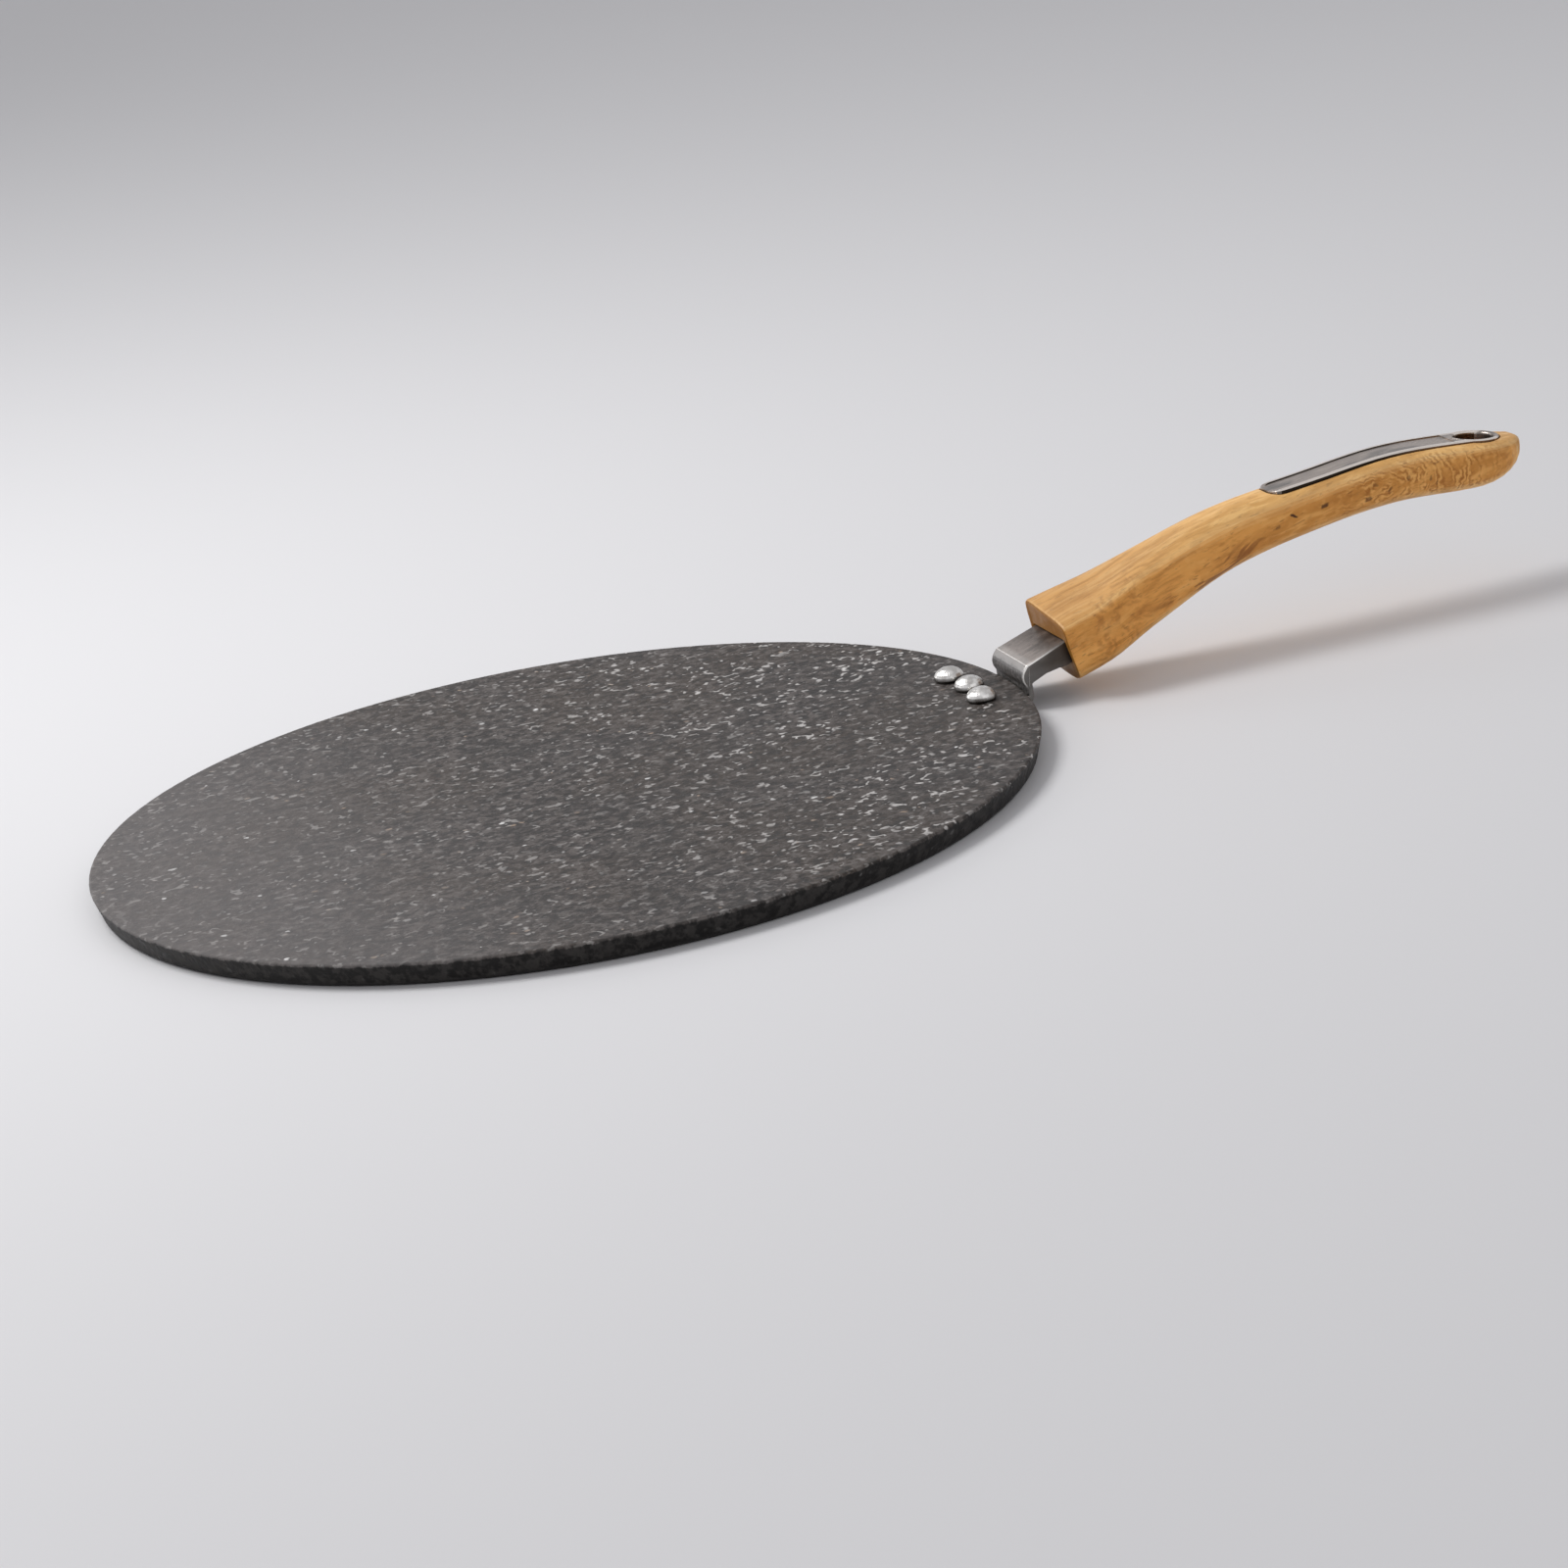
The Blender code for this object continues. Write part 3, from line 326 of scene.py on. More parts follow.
def granite_coating():
    """Dark grey non-stick coating: mottled ground, pale grains and squiggles, bright chips."""
    s = Shader("granite_coating")
    height = s.axis("Z")
    mottle = s.noise(MOTTLE_SIZE, detail=4.0, roughness=0.62)

    # the marks lie in drifts, closer together towards the handle, and fade beside the bracket
    drifts = s.noise(DRIFT_SIZE, detail=3.0, source=s.moved(DRIFT_SHIFT))
    crowd = s.ramp(drifts, 0.40, 0.56, 0.35, 1.0)
    clear = s.ramp(s.axis("X"), *CLEAR_X, 1.0, 0.25)
    crowd = s.times(crowd, s.ramp(s.axis("X"), *CROWD_X, 0.47, 1.0), clear)
    grains, tint = coating_grains(s, crowd)
    squiggles = coating_squiggles(s, crowd)
    chips = coating_chips(s, clear)
    marks = s.math("MAXIMUM", s.math("MAXIMUM", grains, squiggles), chips)

    # they are brighter towards the handle, and some grains are rusty
    bright = s.ramp(s.axis("X"), *BRIGHT_X)
    pale = s.mix(bright, GRAIN_FAR, GRAIN_NEAR)
    pale = s.mix(s.ramp(tint, 0.84, 0.98), pale, GRAIN_RUST)
    stroke = s.mix(bright, SQUIGGLE_FAR, SQUIGGLE_NEAR)
    colour = s.mix(s.times(squiggles, 0.80), coating_ground(s, mottle), stroke)
    colour = s.mix(s.times(grains, 0.90), colour, pale)
    colour = s.mix(chips, colour, CHIP)

    # the pale top ends in a ragged line at the rim; the wall is painted nearly black as shade,
    # with a few chips
    ragged = s.math("ADD", height, s.swing(mottle, TOP_EDGE_SWING))
    specks = s.times(s.math("MAXIMUM", chips, s.times(grains, 0.25)), 0.6)
    wall = s.mix(s.ramp(mottle, 0.42, 0.60), WALL_SHADE_BLACK, WALL_SHADE_GREY)
    wall = s.mix(specks, wall, WALL_CHIP)
    colour = s.mix(s.ramp(ragged, *TOP_EDGE_Z), wall, colour)
    colour = s.mix(s.ramp(height, *BASE_EDGE_Z), colour, coating_base(s))

    rough = s.ramp(mottle, 0.35, 0.65, *COATING_ROUGHNESS)
    rough = s.math("SUBTRACT", rough, s.times(marks, 0.18))
    lumps = s.bump(s.noise(LUMP_SIZE), LUMP_HEIGHT)
    lumps = s.bump(s.noise(PEBBLE_SIZE, detail=3.0, roughness=0.6), PEBBLE_HEIGHT, lumps)
    lumps = s.bump(marks, MARK_HEIGHT, lumps)
    s.set(Base_Color=colour, Roughness=rough, Normal=lumps, Specular_IOR_Level=COATING_SHINE)
    return s.material


# Rivets: colours, the heights and softness of the painted shade round their foot, sizes of their
# features, and their gloss
RIVET_DULL = (0.57, 0.55, 0.525)
RIVET_BRIGHT = (0.83, 0.815, 0.79)
RIVET_FOOT_SHADE = (0.06, 0.052, 0.045)
RIVET_FOOT_SHADE_Z = (6.0 * MM, 8.45 * MM)
RIVET_FOOT_SHADE_SOFT = 0.75 * MM
RIVET_BLOTCH_SIZE = 2.8 * MM
RIVET_SHINE_SIZE = 1.6 * MM
RIVET_DENT_SIZE = 4.6 * MM
RIVET_DENT_DEPTH = 0.75 * MM
RIVET_SCUFF_SIZE = 0.6 * MM
RIVET_SCUFF_DEPTH = 0.02 * MM
RIVET_ROUGHNESS = (0.25, 0.36)


def rivet_aluminium():
    """Polished rivet heads with shallow dents and a dark band of painted shade round the foot."""
    s = Shader("rivet_aluminium")
    blotch = s.noise(RIVET_BLOTCH_SIZE)
    colour = s.mix(s.ramp(blotch, 0.40, 0.66), RIVET_DULL, RIVET_BRIGHT)
    # painted shade: a dark band low on each head, where it meets the disc
    painted_shade = s.band(s.axis("Z"), *RIVET_FOOT_SHADE_Z, RIVET_FOOT_SHADE_SOFT)
    colour = s.mix(s.times(painted_shade, 0.90), colour, RIVET_FOOT_SHADE)
    rough = s.ramp(s.noise(RIVET_SHINE_SIZE), 0.35, 0.65, *RIVET_ROUGHNESS)
    dents = s.bump(s.noise(RIVET_DENT_SIZE, detail=0.0), RIVET_DENT_DEPTH)
    dents = s.bump(s.noise(RIVET_SCUFF_SIZE), RIVET_SCUFF_DEPTH, dents)
    s.set(Base_Color=colour, Metallic=1.0, Roughness=rough, Normal=dents)
    return s.material


# Bracket: colours
WEB_DARK = (0.285, 0.248, 0.224)
WEB_PALE = (0.54, 0.470, 0.425)
WEB_PATCH = (0.20, 0.185, 0.176)
WEB_SPECKLE = (0.16, 0.148, 0.140)
NOSE_REFLECTION_DARK = (0.052, 0.048, 0.046)
NOSE_REFLECTION_PALE = (0.170, 0.158, 0.151)
NOSE_BARE = (0.27, 0.258, 0.250)
SIDE_DARK = (0.135, 0.126, 0.118)
SIDE_PALE = (0.285, 0.268, 0.250)
BEND_HIGHLIGHT = (0.93, 0.90, 0.86)
GRIP_SHADE = (0.045, 0.030, 0.020)
# Bracket: its gloss, the size of each feature, and the slope of its arm in degrees
SHEET_ROUGHNESS = (0.30, 0.42)
SIDE_EXTRA_ROUGHNESS = 0.16
WEB_STROKE = (14 * MM, 0.35 * MM)
ARM_SLOPE = 19.0
PATCH_SIZE = 7 * MM
SPECKLE_SIZE = 1.5 * MM
SPECKLE_SHIFT = (0.3, 0.0, 0.0)
STROKE_DEPTH = 0.03 * MM
ORANGE_PEEL_SIZE = 1.1 * MM
ORANGE_PEEL_DEPTH = 0.03 * MM
# Bracket: heights between which the dark coating-like colour on the nose, a painted reflection of
# the disc, thins out, in colour and in gloss
NOSE_EDGE_Z = (10.2 * MM, 13.2 * MM)
NOSE_GLOSS_Z = (10.2 * MM, 12.8 * MM)
NOSE_EDGE_SWING = 2.5 * MM
# Bracket: where the painted highlights on the long edges start above the disc, and where the
# crest's painted highlight ends
EDGE_START_Z = (6.5 * MM, 8.5 * MM)
CREST_END_X = (144.5 * MM, 143.0 * MM)
# Bracket: where the painted shade at the grip starts, along a line that leans by this share of the
# height
GRIP_SHADE_X = (139.5 * MM, 147.0 * MM)
GRIP_SHADE_LEAN = -0.3


def painted_bend_highlights(s, across, upward, speckle):
    """Where painted highlights lie along the sheet's long edges and its crest."""
    long_edge = s.times(s.band(across, 0.30, 0.82, 0.08), s.ramp(s.axis("Z"), *EDGE_START_Z))
    crest = s.times(s.band(upward, 0.77, 0.93, 0.05), s.ramp(across, 0.40, 0.20, 0.0, 0.85))
    crest = s.times(crest, s.ramp(s.axis("X"), *CREST_END_X))
    return s.times(s.math("MAXIMUM", long_edge, crest), s.ramp(speckle, 0.30, 0.50, 0.60, 1.0))


def bracket_steel():
    """Brushed grey sheet with painted highlights on its bends, darker sides, and a nose painted
    dark like the coating as a painted reflection of the disc.
    """
    s = Shader("bracket_steel")
    _, across, upward = s.facing()
    across = s.math("ABSOLUTE", across)
    strokes = s.brushed(*WEB_STROKE, ARM_SLOPE)
    patch = s.noise(PATCH_SIZE, detail=3.0)
    speckle = s.noise(SPECKLE_SIZE, detail=3.0, roughness=0.62, source=s.moved(SPECKLE_SHIFT))
    web = s.mix(s.ramp(strokes, 0.30, 0.72), WEB_DARK, WEB_PALE)
    web = s.mix(s.ramp(patch, 0.45, 0.72, 0.0, 0.50), web, WEB_PATCH)
    web = s.mix(s.ramp(speckle, 0.52, 0.68, 0.0, 0.40), web, WEB_SPECKLE)

    # the nose is painted dark and mottled like the coating nearly up to its crest, a painted
    # reflection of the dark disc; level faces are bare
    foot = s.math("ADD", s.axis("Z"), s.swing(patch, NOSE_EDGE_SWING))
    reflected_coating = s.mix(s.ramp(speckle, 0.40, 0.62), NOSE_REFLECTION_DARK, NOSE_REFLECTION_PALE)
    nose = s.mix(s.ramp(foot, *NOSE_EDGE_Z), reflected_coating, NOSE_BARE)
    level = s.ramp(s.math("ABSOLUTE", upward), 0.60, 0.86)
    colour = s.mix(level, nose, web)
    side = s.ramp(across, 0.80, 0.95)
    colour = s.mix(side, colour, s.mix(s.ramp(patch, 0.3, 0.7), SIDE_DARK, SIDE_PALE))
    # painted highlights along the long edges and the crest
    highlight = painted_bend_highlights(s, across, upward, speckle)
    colour = s.mix(highlight, colour, BEND_HIGHLIGHT)

    # painted shade, soot-brown, where the sheet enters the grip
    leaning = s.math("ADD", s.axis("X"), s.times(s.axis("Z"), GRIP_SHADE_LEAN))
    painted_shade = s.times(s.ramp(leaning, *GRIP_SHADE_X), s.ramp(patch, 0.30, 0.70, 0.55, 0.90))
    colour = s.mix(painted_shade, colour, GRIP_SHADE)

    rough = s.ramp(strokes, 0.3, 0.7, *SHEET_ROUGHNESS)
    rough = s.math("ADD", rough, s.times(side, SIDE_EXTRA_ROUGHNESS))
    relief = s.bump(strokes, STROKE_DEPTH)
    relief = s.bump(s.noise(ORANGE_PEEL_SIZE, detail=3.0), ORANGE_PEEL_DEPTH, relief)
    bare = s.math("MAXIMUM", s.ramp(foot, *NOSE_GLOSS_Z), s.ramp(upward, -0.60, -0.86))
    # the painted highlights are made less metallic
    bare = s.times(bare, s.ramp(highlight, 0.0, 1.0, 1.0, 0.45))
    s.set(Base_Color=colour, Metallic=bare, Roughness=rough, Normal=relief)
    return s.material


# Wood: colours of its ground and of what lies in it
WOOD_DEEP = (0.66, 0.335, 0.084)
WOOD_GOLD = (0.90, 0.50, 0.155)
WOOD_PALE = (0.98, 0.62, 0.24)
GRAIN_BROWN = (0.47, 0.210, 0.044)
BLOTCH_BROWN = (0.50, 0.230, 0.048)
RING_BROWN = (0.38, 0.150, 0.024)
RING_PALE = (1.0, 0.64, 0.25)
SWIRL_BROWN = (0.40, 0.165, 0.034)
LOW_STREAK_BROWN = (0.27, 0.100, 0.022)
PORE_BROWN = (0.20, 0.082, 0.020)
FLECK_BROWN = (0.075, 0.032, 0.010)
# Wood: painted light and shade by the way that the surface faces; the end grain is darker, partly
# its own colour and partly painted shade
TOP_PAINTED_LIGHT = (1.0, 0.70, 0.36)
FRONT_TOP_SHADE = (0.77, 0.715, 0.68)
SHOULDER_HIGHLIGHT = (1.0, 0.74, 0.42)
SIDE_SHADE = (0.94, 0.78, 0.585)
END_GRAIN_AND_SHADE = (0.31, 0.115, 0.006)
# Wood: features per metre along X, Y and Z, and their slopes in degrees
GRAIN_FEATURES = (34.0, 330.0, 300.0)
BROAD_FEATURES = (14.0, 95.0, 80.0)
BLOTCH_FEATURES = (170.0, 420.0, 400.0)
SWIRL_FEATURES = (60.0, 60.0, 75.0)
LOW_STREAK_FEATURES = (60.0, 420.0, 380.0)
PORE_FEATURES = (240.0, 1500.0, 1400.0)
GRAIN_SLOPE = 14.0
LOW_STREAK_SLOPE = 19.0
PORE_SLOPE = 18.0
GRAIN_WANDER = (24 * MM, 8 * MM)
# Wood: shifts that keep the noises apart
PATCHY_SHIFT = (0.05, 0.11, 0.0)
SWIRL_SHIFT = (0.083, 0.02, 0.051)
# Wood: how high the grain, the rings and the pores stand, and its gloss
GRAIN_HEIGHT = 0.06 * MM
RING_HEIGHT = -0.05 * MM
PORE_HEIGHT = -0.06 * MM
WOOD_ROUGHNESS = (0.38, 0.52)
WOOD_SHINE = 0.30
# Ring figure: its centre, the spacing of its rings and how it is drawn out
FIGURE_X = 0.2625
FIGURE_Z = 0.0405
FIGURE_SPACING = 2.0 * MM
FIGURE_FRONT_SHARE = 0.24
FIGURE_HEIGHT_SHARE = 1.35
FIGURE_WARP = (9 * MM, 6.0 * MM)
# Fray of the rings: size of the noise that pushes them, and by how many rings
FRAY_SIZE = 1.9 * MM
FIGURE_FRAY = 2.3
SWIRL_FRAY = 1.4
# Ring figure and swirl: where along X each starts and ends
REAR_START_X = (240 * MM, 262 * MM)
REAR_END_X = (310 * MM, 290 * MM)
SWIRL_START_X = (158 * MM, 166 * MM)
SWIRL_END_X = (190 * MM, 176 * MM)
SWIRL_TURNS = 12.0
FLANK_Y = (8.5 * MM, 10.5 * MM)
PATCHY_SIZE = 3.4 * MM
# Low streaks: their reach along X, on the near side, below a line that rises with X
LOW_STREAK_X = (0.186, 0.222)
LOW_STREAK_SOFT = 0.008
LOW_STREAK_Y = (-7 * MM, -10 * MM)
LOW_LINE_RISE = 0.33
LOW_LINE_Z = (-35.5 * MM, -38.5 * MM)
# Where along X the top is browner with painted shade, from nowhere to fully
FRONT_TOP_SHADE_X = (225 * MM, 165 * MM)
# Dark flecks in the near side: place along X, height, length, slant in degrees, depth of colour
FLECKS = (
    (0.2273, 0.0367, 2.4 * MM, 20.0, 0.45),
    (0.2330, 0.0391, 2.8 * MM, -24.0, 1.00),
    (0.2434, 0.0399, 3.4 * MM, 25.0, 0.85),
    (0.2578, 0.0388, 3.4 * MM, 10.0, 0.60),
    (0.2604, 0.0424, 2.6 * MM, -10.0, 0.40),
    (0.2651, 0.0402, 2.8 * MM, 35.0, 0.55),
    (0.2716, 0.0426, 2.4 * MM, 60.0, 0.50),
    (0.2788, 0.0405, 2.2 * MM, 80.0, 0.55),
    (0.2808, 0.0389, 2.0 * MM, 60.0, 0.50),
)
FLECK_WARP = (1.4 * MM, 1.3 * MM)
FLECK_Y = (-6 * MM, -8 * MM)
FLECK_FLATNESS = 2.0


def fleck(s, x, z, length, slant, depth):
    """A small slanted mark on the -Y side of the grip, ragged by noise."""
    turned = s.node("ShaderNodeVectorRotate", rotation_type="Y_AXIS")
    s.feed(turned.inputs["Vector"], s.warped(*FLECK_WARP))
    turned.inputs["Center"].default_value = (x, 0.0, z)
    turned.inputs["Angle"].default_value = math.radians(slant)
    squeezed = s.stretch((1.0, 0.0, FLECK_FLATNESS), source=turned.outputs["Vector"])
    away = s.node("ShaderNodeVectorMath", operation="DISTANCE")
    s.feed(away.inputs[0], squeezed)
    away.inputs[1].default_value = (x, 0.0, FLECK_FLATNESS * z)
    near_side = s.ramp(s.axis("Y"), *FLECK_Y, 0.0, depth)
    return s.times(s.ramp(away.outputs["Value"], 0.5 * length, 0.2 * length), near_side)


def ragged_rings(s, turns, fray):
    """Dark and pale rings for a count of turns, pushed to and fro by fine noise."""
    turns = s.math("ADD", turns, s.swing(s.noise(FRAY_SIZE, detail=3.0), fray))
    return s.ramp(s.math("PINGPONG", turns, 0.5), 0.0, 0.48)


def ring_figure(s):
    """Ragged rings round a point of each side: upright arcs behind it, long loops before it."""
    bent = s.warped(*FIGURE_WARP)
    along = s.math("SUBTRACT", s.axis("X", bent), FIGURE_X)
    drawn = s.times(s.math("MINIMUM", along, 0.0), FIGURE_FRONT_SHARE)
    along = s.math("ADD", drawn, s.math("MAXIMUM", along, 0.0))
    above = s.times(s.math("SUBTRACT", s.axis("Z", bent), FIGURE_Z), FIGURE_HEIGHT_SHARE)
    squares = s.math("ADD", s.times(along, along), s.times(above, above))
    turns = s.math("DIVIDE", s.math("SQRT", squares), FIGURE_SPACING)
    return ragged_rings(s, turns, FIGURE_FRAY)


def socket_swirl(s):
    """Ragged swirls near the socket, before they are kept to the sides."""
    swirl = s.noise(1.0, detail=1.0, source=s.stretch(SWIRL_FEATURES, source=s.moved(SWIRL_SHIFT)))
    swirl = ragged_rings(s, s.times(swirl, SWIRL_TURNS), SWIRL_FRAY)
    x = s.axis("X")
    return s.times(swirl, s.times(s.ramp(x, *SWIRL_START_X), s.ramp(x, *SWIRL_END_X)))


def low_streaks(s, warp):
    """Dark streaks low on the near side, in the middle of the grip."""
    streaks = s.streaks(LOW_STREAK_FEATURES, LOW_STREAK_SLOPE, 4.0, 0.6, warp)
    x = s.axis("X")
    reach = s.band(x, *LOW_STREAK_X, LOW_STREAK_SOFT)
    reach = s.times(reach, s.ramp(s.axis("Y"), *LOW_STREAK_Y))
    below = s.math("SUBTRACT", s.axis("Z"), s.times(x, LOW_LINE_RISE))
    reach = s.times(reach, s.ramp(below, *LOW_LINE_Z))
    return s.times(s.ramp(streaks, 0.49, 0.60, 0.0, 0.80), reach)


def paint_light_by_facing(s, colour):
    """Painted light and shade: a golden top with painted light, browner with painted shade at the
    front, painted highlights on the shoulders, sides deeper with painted shade, and end grain
    darker, partly its own colour and partly painted shade.
    """
    lengthwise, across, upward = s.facing()
    colour = s.mix(s.ramp(upward, 0.55, 0.94, 0.0, 0.12), colour, TOP_PAINTED_LIGHT)
    front_top_shade = s.times(s.ramp(upward, 0.70, 0.90), s.ramp(s.axis("X"), *FRONT_TOP_SHADE_X))
    colour = s.mix(front_top_shade, colour, FRONT_TOP_SHADE, "MULTIPLY")
    shoulder_highlight = s.band(upward, 0.42, 0.80, 0.12)
    colour = s.mix(s.times(shoulder_highlight, 0.20), colour, SHOULDER_HIGHLIGHT)
    sides = s.ramp(s.math("ABSOLUTE", across), 0.62, 0.90)
    colour = s.mix(sides, colour, SIDE_SHADE, "MULTIPLY")
    return s.mix(s.ramp(lengthwise, -0.50, -0.80, 0.0, 0.85), colour, END_GRAIN_AND_SHADE)


def wood_finish():
    """Golden wood with streaks along the grip, rings on its sides, pores and flecks."""
    s = Shader("wood_finish")
    warp = s.warped(*GRAIN_WANDER)
    grain = s.streaks(GRAIN_FEATURES, GRAIN_SLOPE, 5.0, 0.62, warp)
    broad = s.streaks(BROAD_FEATURES, GRAIN_SLOPE, 3.0, source=warp)
    colour = s.mix(s.ramp(broad, 0.38, 0.62), WOOD_DEEP, WOOD_GOLD)
    colour = s.mix(s.ramp(grain, 0.50, 0.64, 0.0, 0.58), colour, GRAIN_BROWN)
    colour = s.mix(s.ramp(grain, 0.48, 0.36, 0.0, 0.55), colour, WOOD_PALE)
    # short soft blotches make it cloudy
    blotch = s.streaks(BLOTCH_FEATURES, GRAIN_SLOPE, 4.0, 0.62)
    colour = s.mix(s.ramp(blotch, 0.52, 0.68, 0.0, 0.40), colour, BLOTCH_BROWN)
    colour = s.mix(s.ramp(blotch, 0.46, 0.34, 0.0, 0.30), colour, WOOD_PALE)

    # rings on the sides, at the rear as a figure and near the socket as swirls
    rings = ring_figure(s)
    flank = s.ramp(s.math("ABSOLUTE", s.axis("Y")), *FLANK_Y)
    patchy = s.noise(PATCHY_SIZE, source=s.moved(PATCHY_SHIFT))
    patchy = s.ramp(patchy, 0.42, 0.58, 0.15, 1.0)
    x = s.axis("X")
    rear = s.times(s.ramp(x, *REAR_START_X), s.ramp(x, *REAR_END_X), flank, patchy)
    dark_rings = s.times(rings, rear)
    colour = s.mix(s.times(dark_rings, 0.72), colour, RING_BROWN)
    pale_rings = s.times(s.math("SUBTRACT", 1.0, rings), rear)
    colour = s.mix(s.times(pale_rings, 0.66), colour, RING_PALE)
    swirl = s.times(socket_swirl(s), s.times(flank, patchy))
    colour = s.mix(s.times(swirl, 0.50), colour, SWIRL_BROWN)

    colour = s.mix(low_streaks(s, warp), colour, LOW_STREAK_BROWN)
    pores = s.ramp(s.streaks(PORE_FEATURES, PORE_SLOPE), 0.63, 0.72)
    colour = s.mix(s.times(pores, 0.40), colour, PORE_BROWN)
    for values in FLECKS:
        colour = s.mix(fleck(s, *values), colour, FLECK_BROWN)
    # painted light and shade by the way the surface faces
    colour = paint_light_by_facing(s, colour)

    rough = s.ramp(grain, 0.3, 0.7, *WOOD_ROUGHNESS)
    relief = s.bump(grain, GRAIN_HEIGHT)
    relief = s.bump(dark_rings, RING_HEIGHT, relief)
    relief = s.bump(pores, PORE_HEIGHT, relief)
    s.set(Base_Color=colour, Roughness=rough, Normal=relief, Specular_IOR_Level=WOOD_SHINE)
    return s.material


# Inlay: colours
RIM_HIGHLIGHT_DARK = (0.79, 0.72, 0.65)
RIM_HIGHLIGHT_PALE = (0.88, 0.81, 0.74)
PANEL_DARK = (0.295, 0.252, 0.222)
PANEL_PALE = (0.54, 0.470, 0.417)
PANEL_SMUDGE_AND_REFLECTION = (0.15, 0.142, 0.135)
SEAM_SHADE_BLACK = (0.030, 0.022, 0.015)
SEAM_SHADE_BROWN = (0.20, 0.115, 0.060)
# Inlay: its gloss, its strokes, the features per metre of its smudges, partly painted reflection,
# and their slope in degrees
INLAY_ROUGHNESS = (0.20, 0.34)
PANEL_EXTRA_ROUGHNESS = 0.06
INLAY_STROKE = (18 * MM, 0.30 * MM)
SMUDGE_AND_REFLECTION_FEATURES = (60.0, 190.0, 190.0)
INLAY_SLOPE = 8.0
# Inlay: where across it the rim with its painted highlight turns into the panel, and along it the
# seam's painted shade turns brown
PANEL_Y = (5.5 * MM, 4.8 * MM)
SEAM_SHADE_X = (0.262, 0.290)


def inlay_steel():
    """Brushed steel plate: a rim with a painted highlight, a darker panel with smudges that are
    partly dull patches and partly painted reflection, and sides with painted shade that fades to
    brown.
    """
    s = Shader("inlay_steel")
    _, across, upward = s.facing()
    strokes = s.brushed(*INLAY_STROKE, INLAY_SLOPE)
    smudge_and_reflection = s.streaks(SMUDGE_AND_REFLECTION_FEATURES, INLAY_SLOPE, 3.0)
    middle = s.ramp(s.math("ABSOLUTE", s.axis("Y")), *PANEL_Y)
    # the rim is much paler than the panel: a painted highlight
    rim = s.mix(s.ramp(strokes, 0.3, 0.7), RIM_HIGHLIGHT_DARK, RIM_HIGHLIGHT_PALE)
    panel = s.mix(s.ramp(strokes, 0.30, 0.70), PANEL_DARK, PANEL_PALE)
    # smudges on the panel: partly dull patches, partly painted reflection
    panel = s.mix(s.ramp(smudge_and_reflection, 0.48, 0.66, 0.0, 0.70), panel, PANEL_SMUDGE_AND_REFLECTION)
    colour = s.mix(middle, rim, panel)
    # painted shade on the plate's sides, where they stand in the seam: black, fading to brown
    # along X
    side = s.ramp(s.math("ABSOLUTE", across), 0.80, 0.92)
    side = s.times(side, s.ramp(upward, 0.45, 0.25))
    seam_shade = s.mix(s.ramp(s.axis("X"), *SEAM_SHADE_X), SEAM_SHADE_BLACK, SEAM_SHADE_BROWN)
    colour = s.mix(side, colour, seam_shade)
    rough = s.ramp(strokes, 0.3, 0.7, *INLAY_ROUGHNESS)
    rough = s.math("ADD", rough, s.times(middle, PANEL_EXTRA_ROUGHNESS))
    relief = s.bump(strokes, STROKE_DEPTH)
    s.set(Base_Color=colour, Metallic=1.0, Roughness=rough, Normal=relief)
    return s.material


# Fixings: colours, gloss, sizes, and their scratches' features per metre and turn in degrees
ZINC_DARK = (0.42, 0.42, 0.425)
ZINC_PALE = (0.60, 0.60, 0.605)
ZINC_ROUGHNESS = (0.28, 0.44)
ZINC_CLOUD_SIZE = 3 * MM
SCRATCH_FEATURES = (300.0, 2500.0, 300.0)
SCRATCH_TURN = (0.0, 0.0, 35.0)
SCRATCH_DEPTH = 0.02 * MM


def fixing_steel():
    """Zinc-plated steel of the screw, washer and nut."""
    s = Shader("fixing_steel")
    cloud = s.noise(ZINC_CLOUD_SIZE, detail=3.0)
    colour = s.mix(s.ramp(cloud, 0.35, 0.68), ZINC_DARK, ZINC_PALE)
    scratches = s.noise(1.0, detail=3.0, source=s.stretch(SCRATCH_FEATURES, SCRATCH_TURN))
    rough = s.ramp(scratches, 0.3, 0.7, *ZINC_ROUGHNESS)
    relief = s.bump(scratches, SCRATCH_DEPTH)
    s.set(Base_Color=colour, Metallic=1.0, Roughness=rough, Normal=relief)
    return s.material


MATERIAL_MAKERS = {
    "granite_coating": granite_coating,
    "rivet_aluminium": rivet_aluminium,
    "bracket_steel": bracket_steel,
    "wood_finish": wood_finish,
    "inlay_steel": inlay_steel,
    "fixing_steel": fixing_steel,
}


def dress_nodes(frame):
    """Gives each CAD node the material of its slot in the record."""
    materials = {name: make() for name, make in MATERIAL_MAKERS.items()}
    for entry in frame["record"]["subparts"]:
        for slot in frame["nodes"][entry["node"]].material_slots:
            slot.material = materials[entry["material_slot"]]


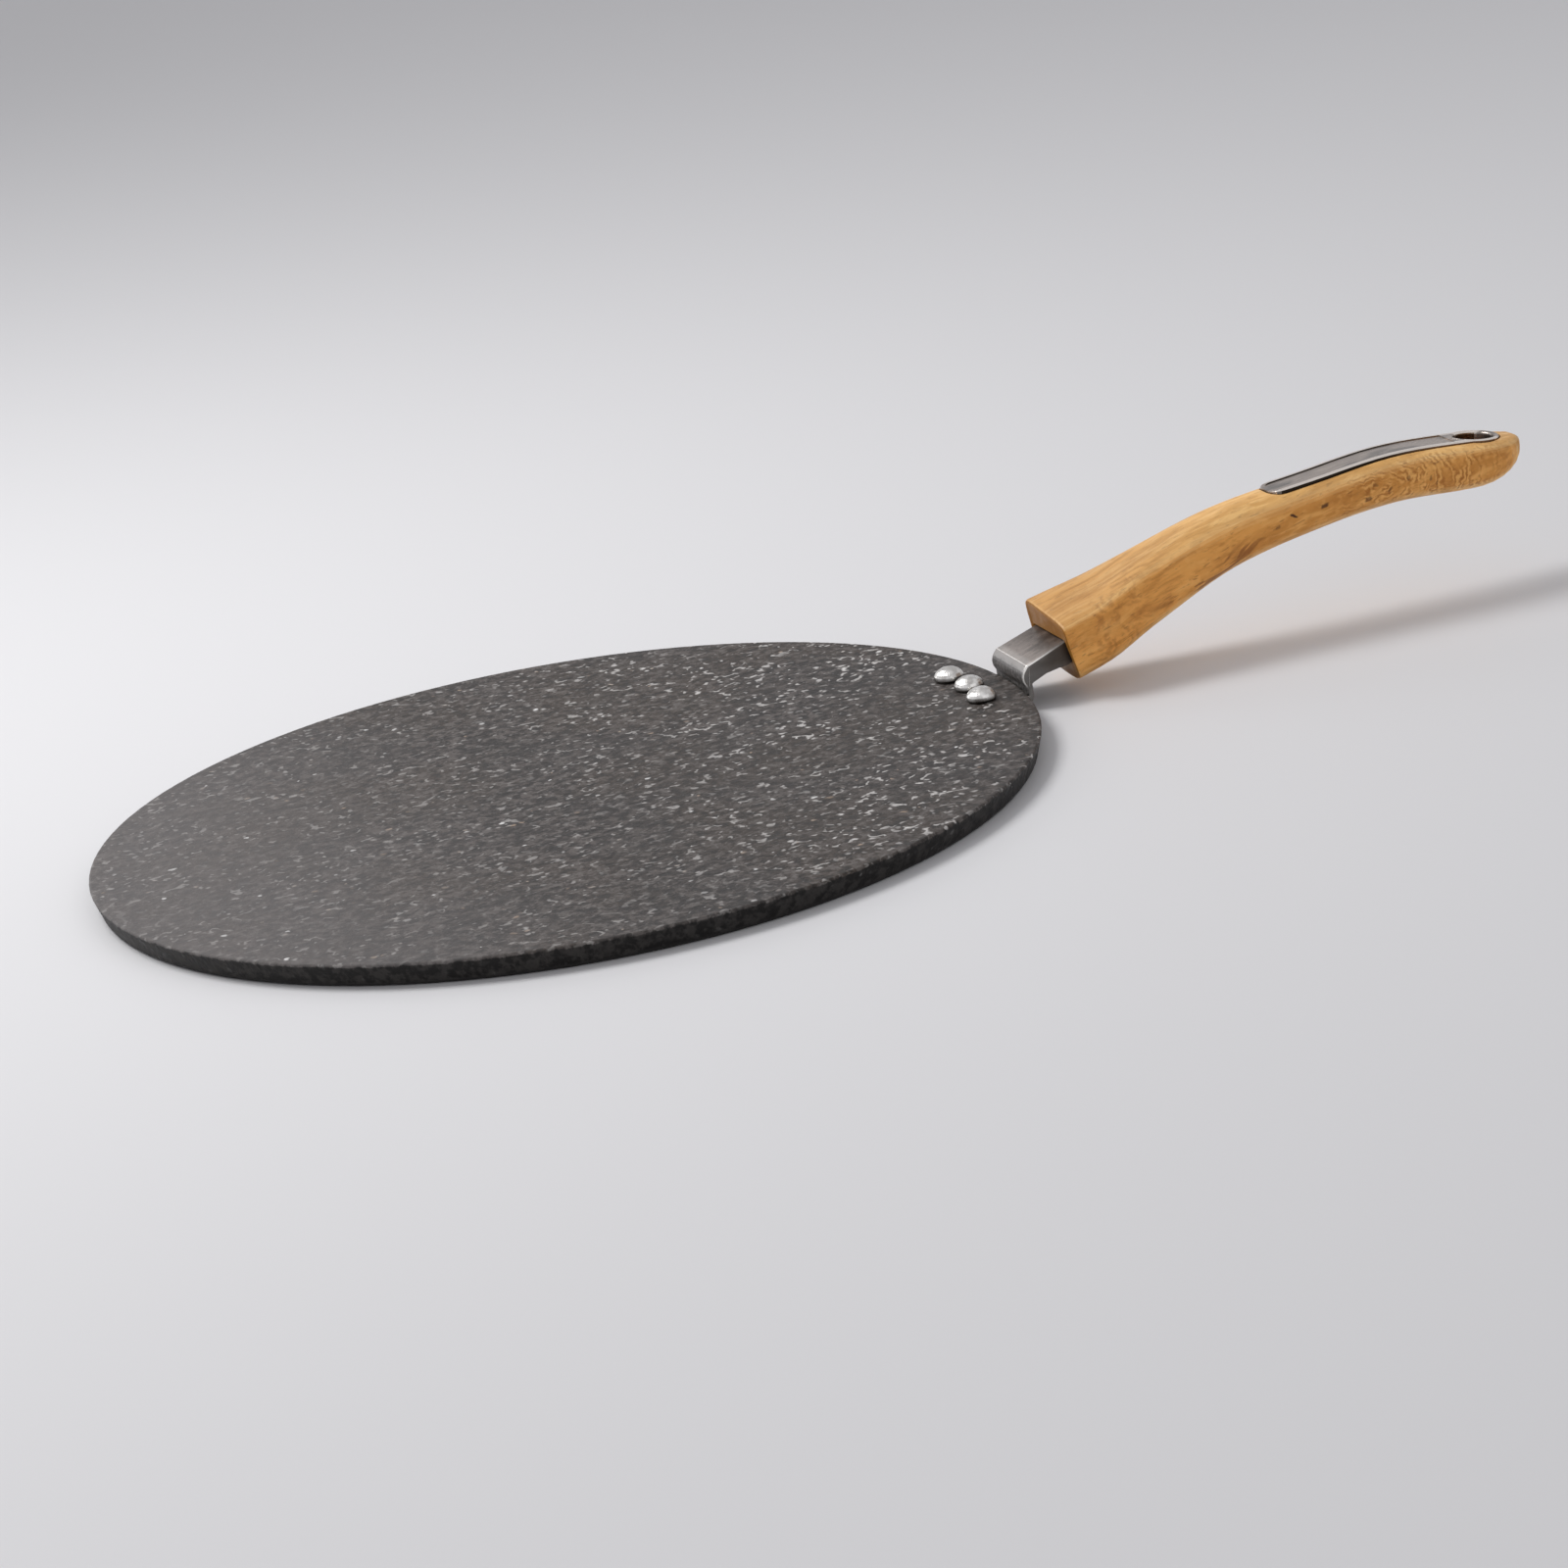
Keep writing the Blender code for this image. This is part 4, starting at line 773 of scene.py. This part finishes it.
def add_floor():
    """A plain pale floor just below the part."""
    half = FLOOR_SIZE / 2
    corners = [(-half, -half, 0), (half, -half, 0), (half, half, 0), (-half, half, 0)]
    mesh = bpy.data.meshes.new("floor")
    mesh.from_pydata(corners, [], [(0, 1, 2, 3)])
    floor = bpy.data.objects.new("floor", mesh)
    bpy.context.scene.collection.objects.link(floor)
    floor.location.z = -FLOOR_DROP
    s = Shader("floor")
    s.set(
        Base_Color=(*FLOOR_COLOUR, 1.0),
        Roughness=FLOOR_ROUGHNESS,
        Specular_IOR_Level=FLOOR_SHINE,
    )
    mesh.materials.append(s.material)
    floor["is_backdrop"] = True


def add_sky():
    """Soft even light from all round; the camera and reflections see a pale backdrop."""
    world = bpy.data.worlds.new("studio")
    world.use_nodes = True
    bpy.context.scene.world = world
    tree = world.node_tree
    light = tree.nodes["Background"]
    light.inputs["Color"].default_value = (*SKY_COLOUR, 1.0)
    light.inputs["Strength"].default_value = SKY_STRENGTH
    shown = tree.nodes.new("ShaderNodeBackground")
    shown.inputs["Color"].default_value = (*SHOWN_BACKGROUND, 1.0)
    path = tree.nodes.new("ShaderNodeLightPath")
    seen = path.outputs["Is Camera Ray"]
    for ray in ("Is Glossy Ray", "Is Transmission Ray"):
        either = tree.nodes.new("ShaderNodeMath")
        either.operation = "MAXIMUM"
        tree.links.new(seen, either.inputs[0])
        tree.links.new(path.outputs[ray], either.inputs[1])
        seen = either.outputs[0]
    choose = tree.nodes.new("ShaderNodeMixShader")
    tree.links.new(seen, choose.inputs[0])
    tree.links.new(light.outputs[0], choose.inputs[1])
    tree.links.new(shown.outputs[0], choose.inputs[2])
    tree.links.new(choose.outputs[0], tree.nodes["World Output"].inputs["Surface"])


def add_softbox(name, place, size, power):
    """A square lamp that faces the middle of the part."""
    data = bpy.data.lights.new(name, "AREA")
    data.size = size
    data.energy = power
    lamp = bpy.data.objects.new(name, data)
    bpy.context.scene.collection.objects.link(lamp)
    low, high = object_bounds()
    away = Vector(place) - (Vector(low) + Vector(high)) / 2
    turn = away.to_track_quat("Z", "Y").to_matrix().to_4x4()
    lamp.matrix_world = Matrix.Translation(place) @ turn


def add_camera():
    """A camera at the photograph's place, angle and lens."""
    data = bpy.data.cameras.new("camera")
    data.sensor_width = CAMERA_SENSOR
    data.lens = CAMERA_LENS
    data.clip_start = CAMERA_NEAREST
    camera = bpy.data.objects.new("camera", data)
    bpy.context.scene.collection.objects.link(camera)
    turn = Matrix.Rotation(math.radians(CAMERA_AZIMUTH), 4, "Z")
    tilt = Matrix.Rotation(math.radians(90.0 - CAMERA_ELEVATION), 4, "X")
    roll = Matrix.Rotation(math.radians(-CAMERA_ROLL), 4, "Z")
    camera.matrix_world = Matrix.Translation(CAMERA_PLACE) @ turn @ tilt @ roll
    bpy.context.scene.camera = camera


with open("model.json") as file:
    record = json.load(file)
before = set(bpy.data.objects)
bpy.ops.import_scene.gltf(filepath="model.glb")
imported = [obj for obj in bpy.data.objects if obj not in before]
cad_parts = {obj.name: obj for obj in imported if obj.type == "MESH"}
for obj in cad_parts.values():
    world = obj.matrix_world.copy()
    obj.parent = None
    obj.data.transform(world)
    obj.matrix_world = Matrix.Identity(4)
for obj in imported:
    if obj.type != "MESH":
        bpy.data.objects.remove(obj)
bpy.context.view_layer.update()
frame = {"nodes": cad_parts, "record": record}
bpy.context.scene.view_settings.view_transform = "Standard"
dress_nodes(frame)
add_floor()
add_sky()
for softbox in SOFTBOXES:
    add_softbox(*softbox)
add_camera()
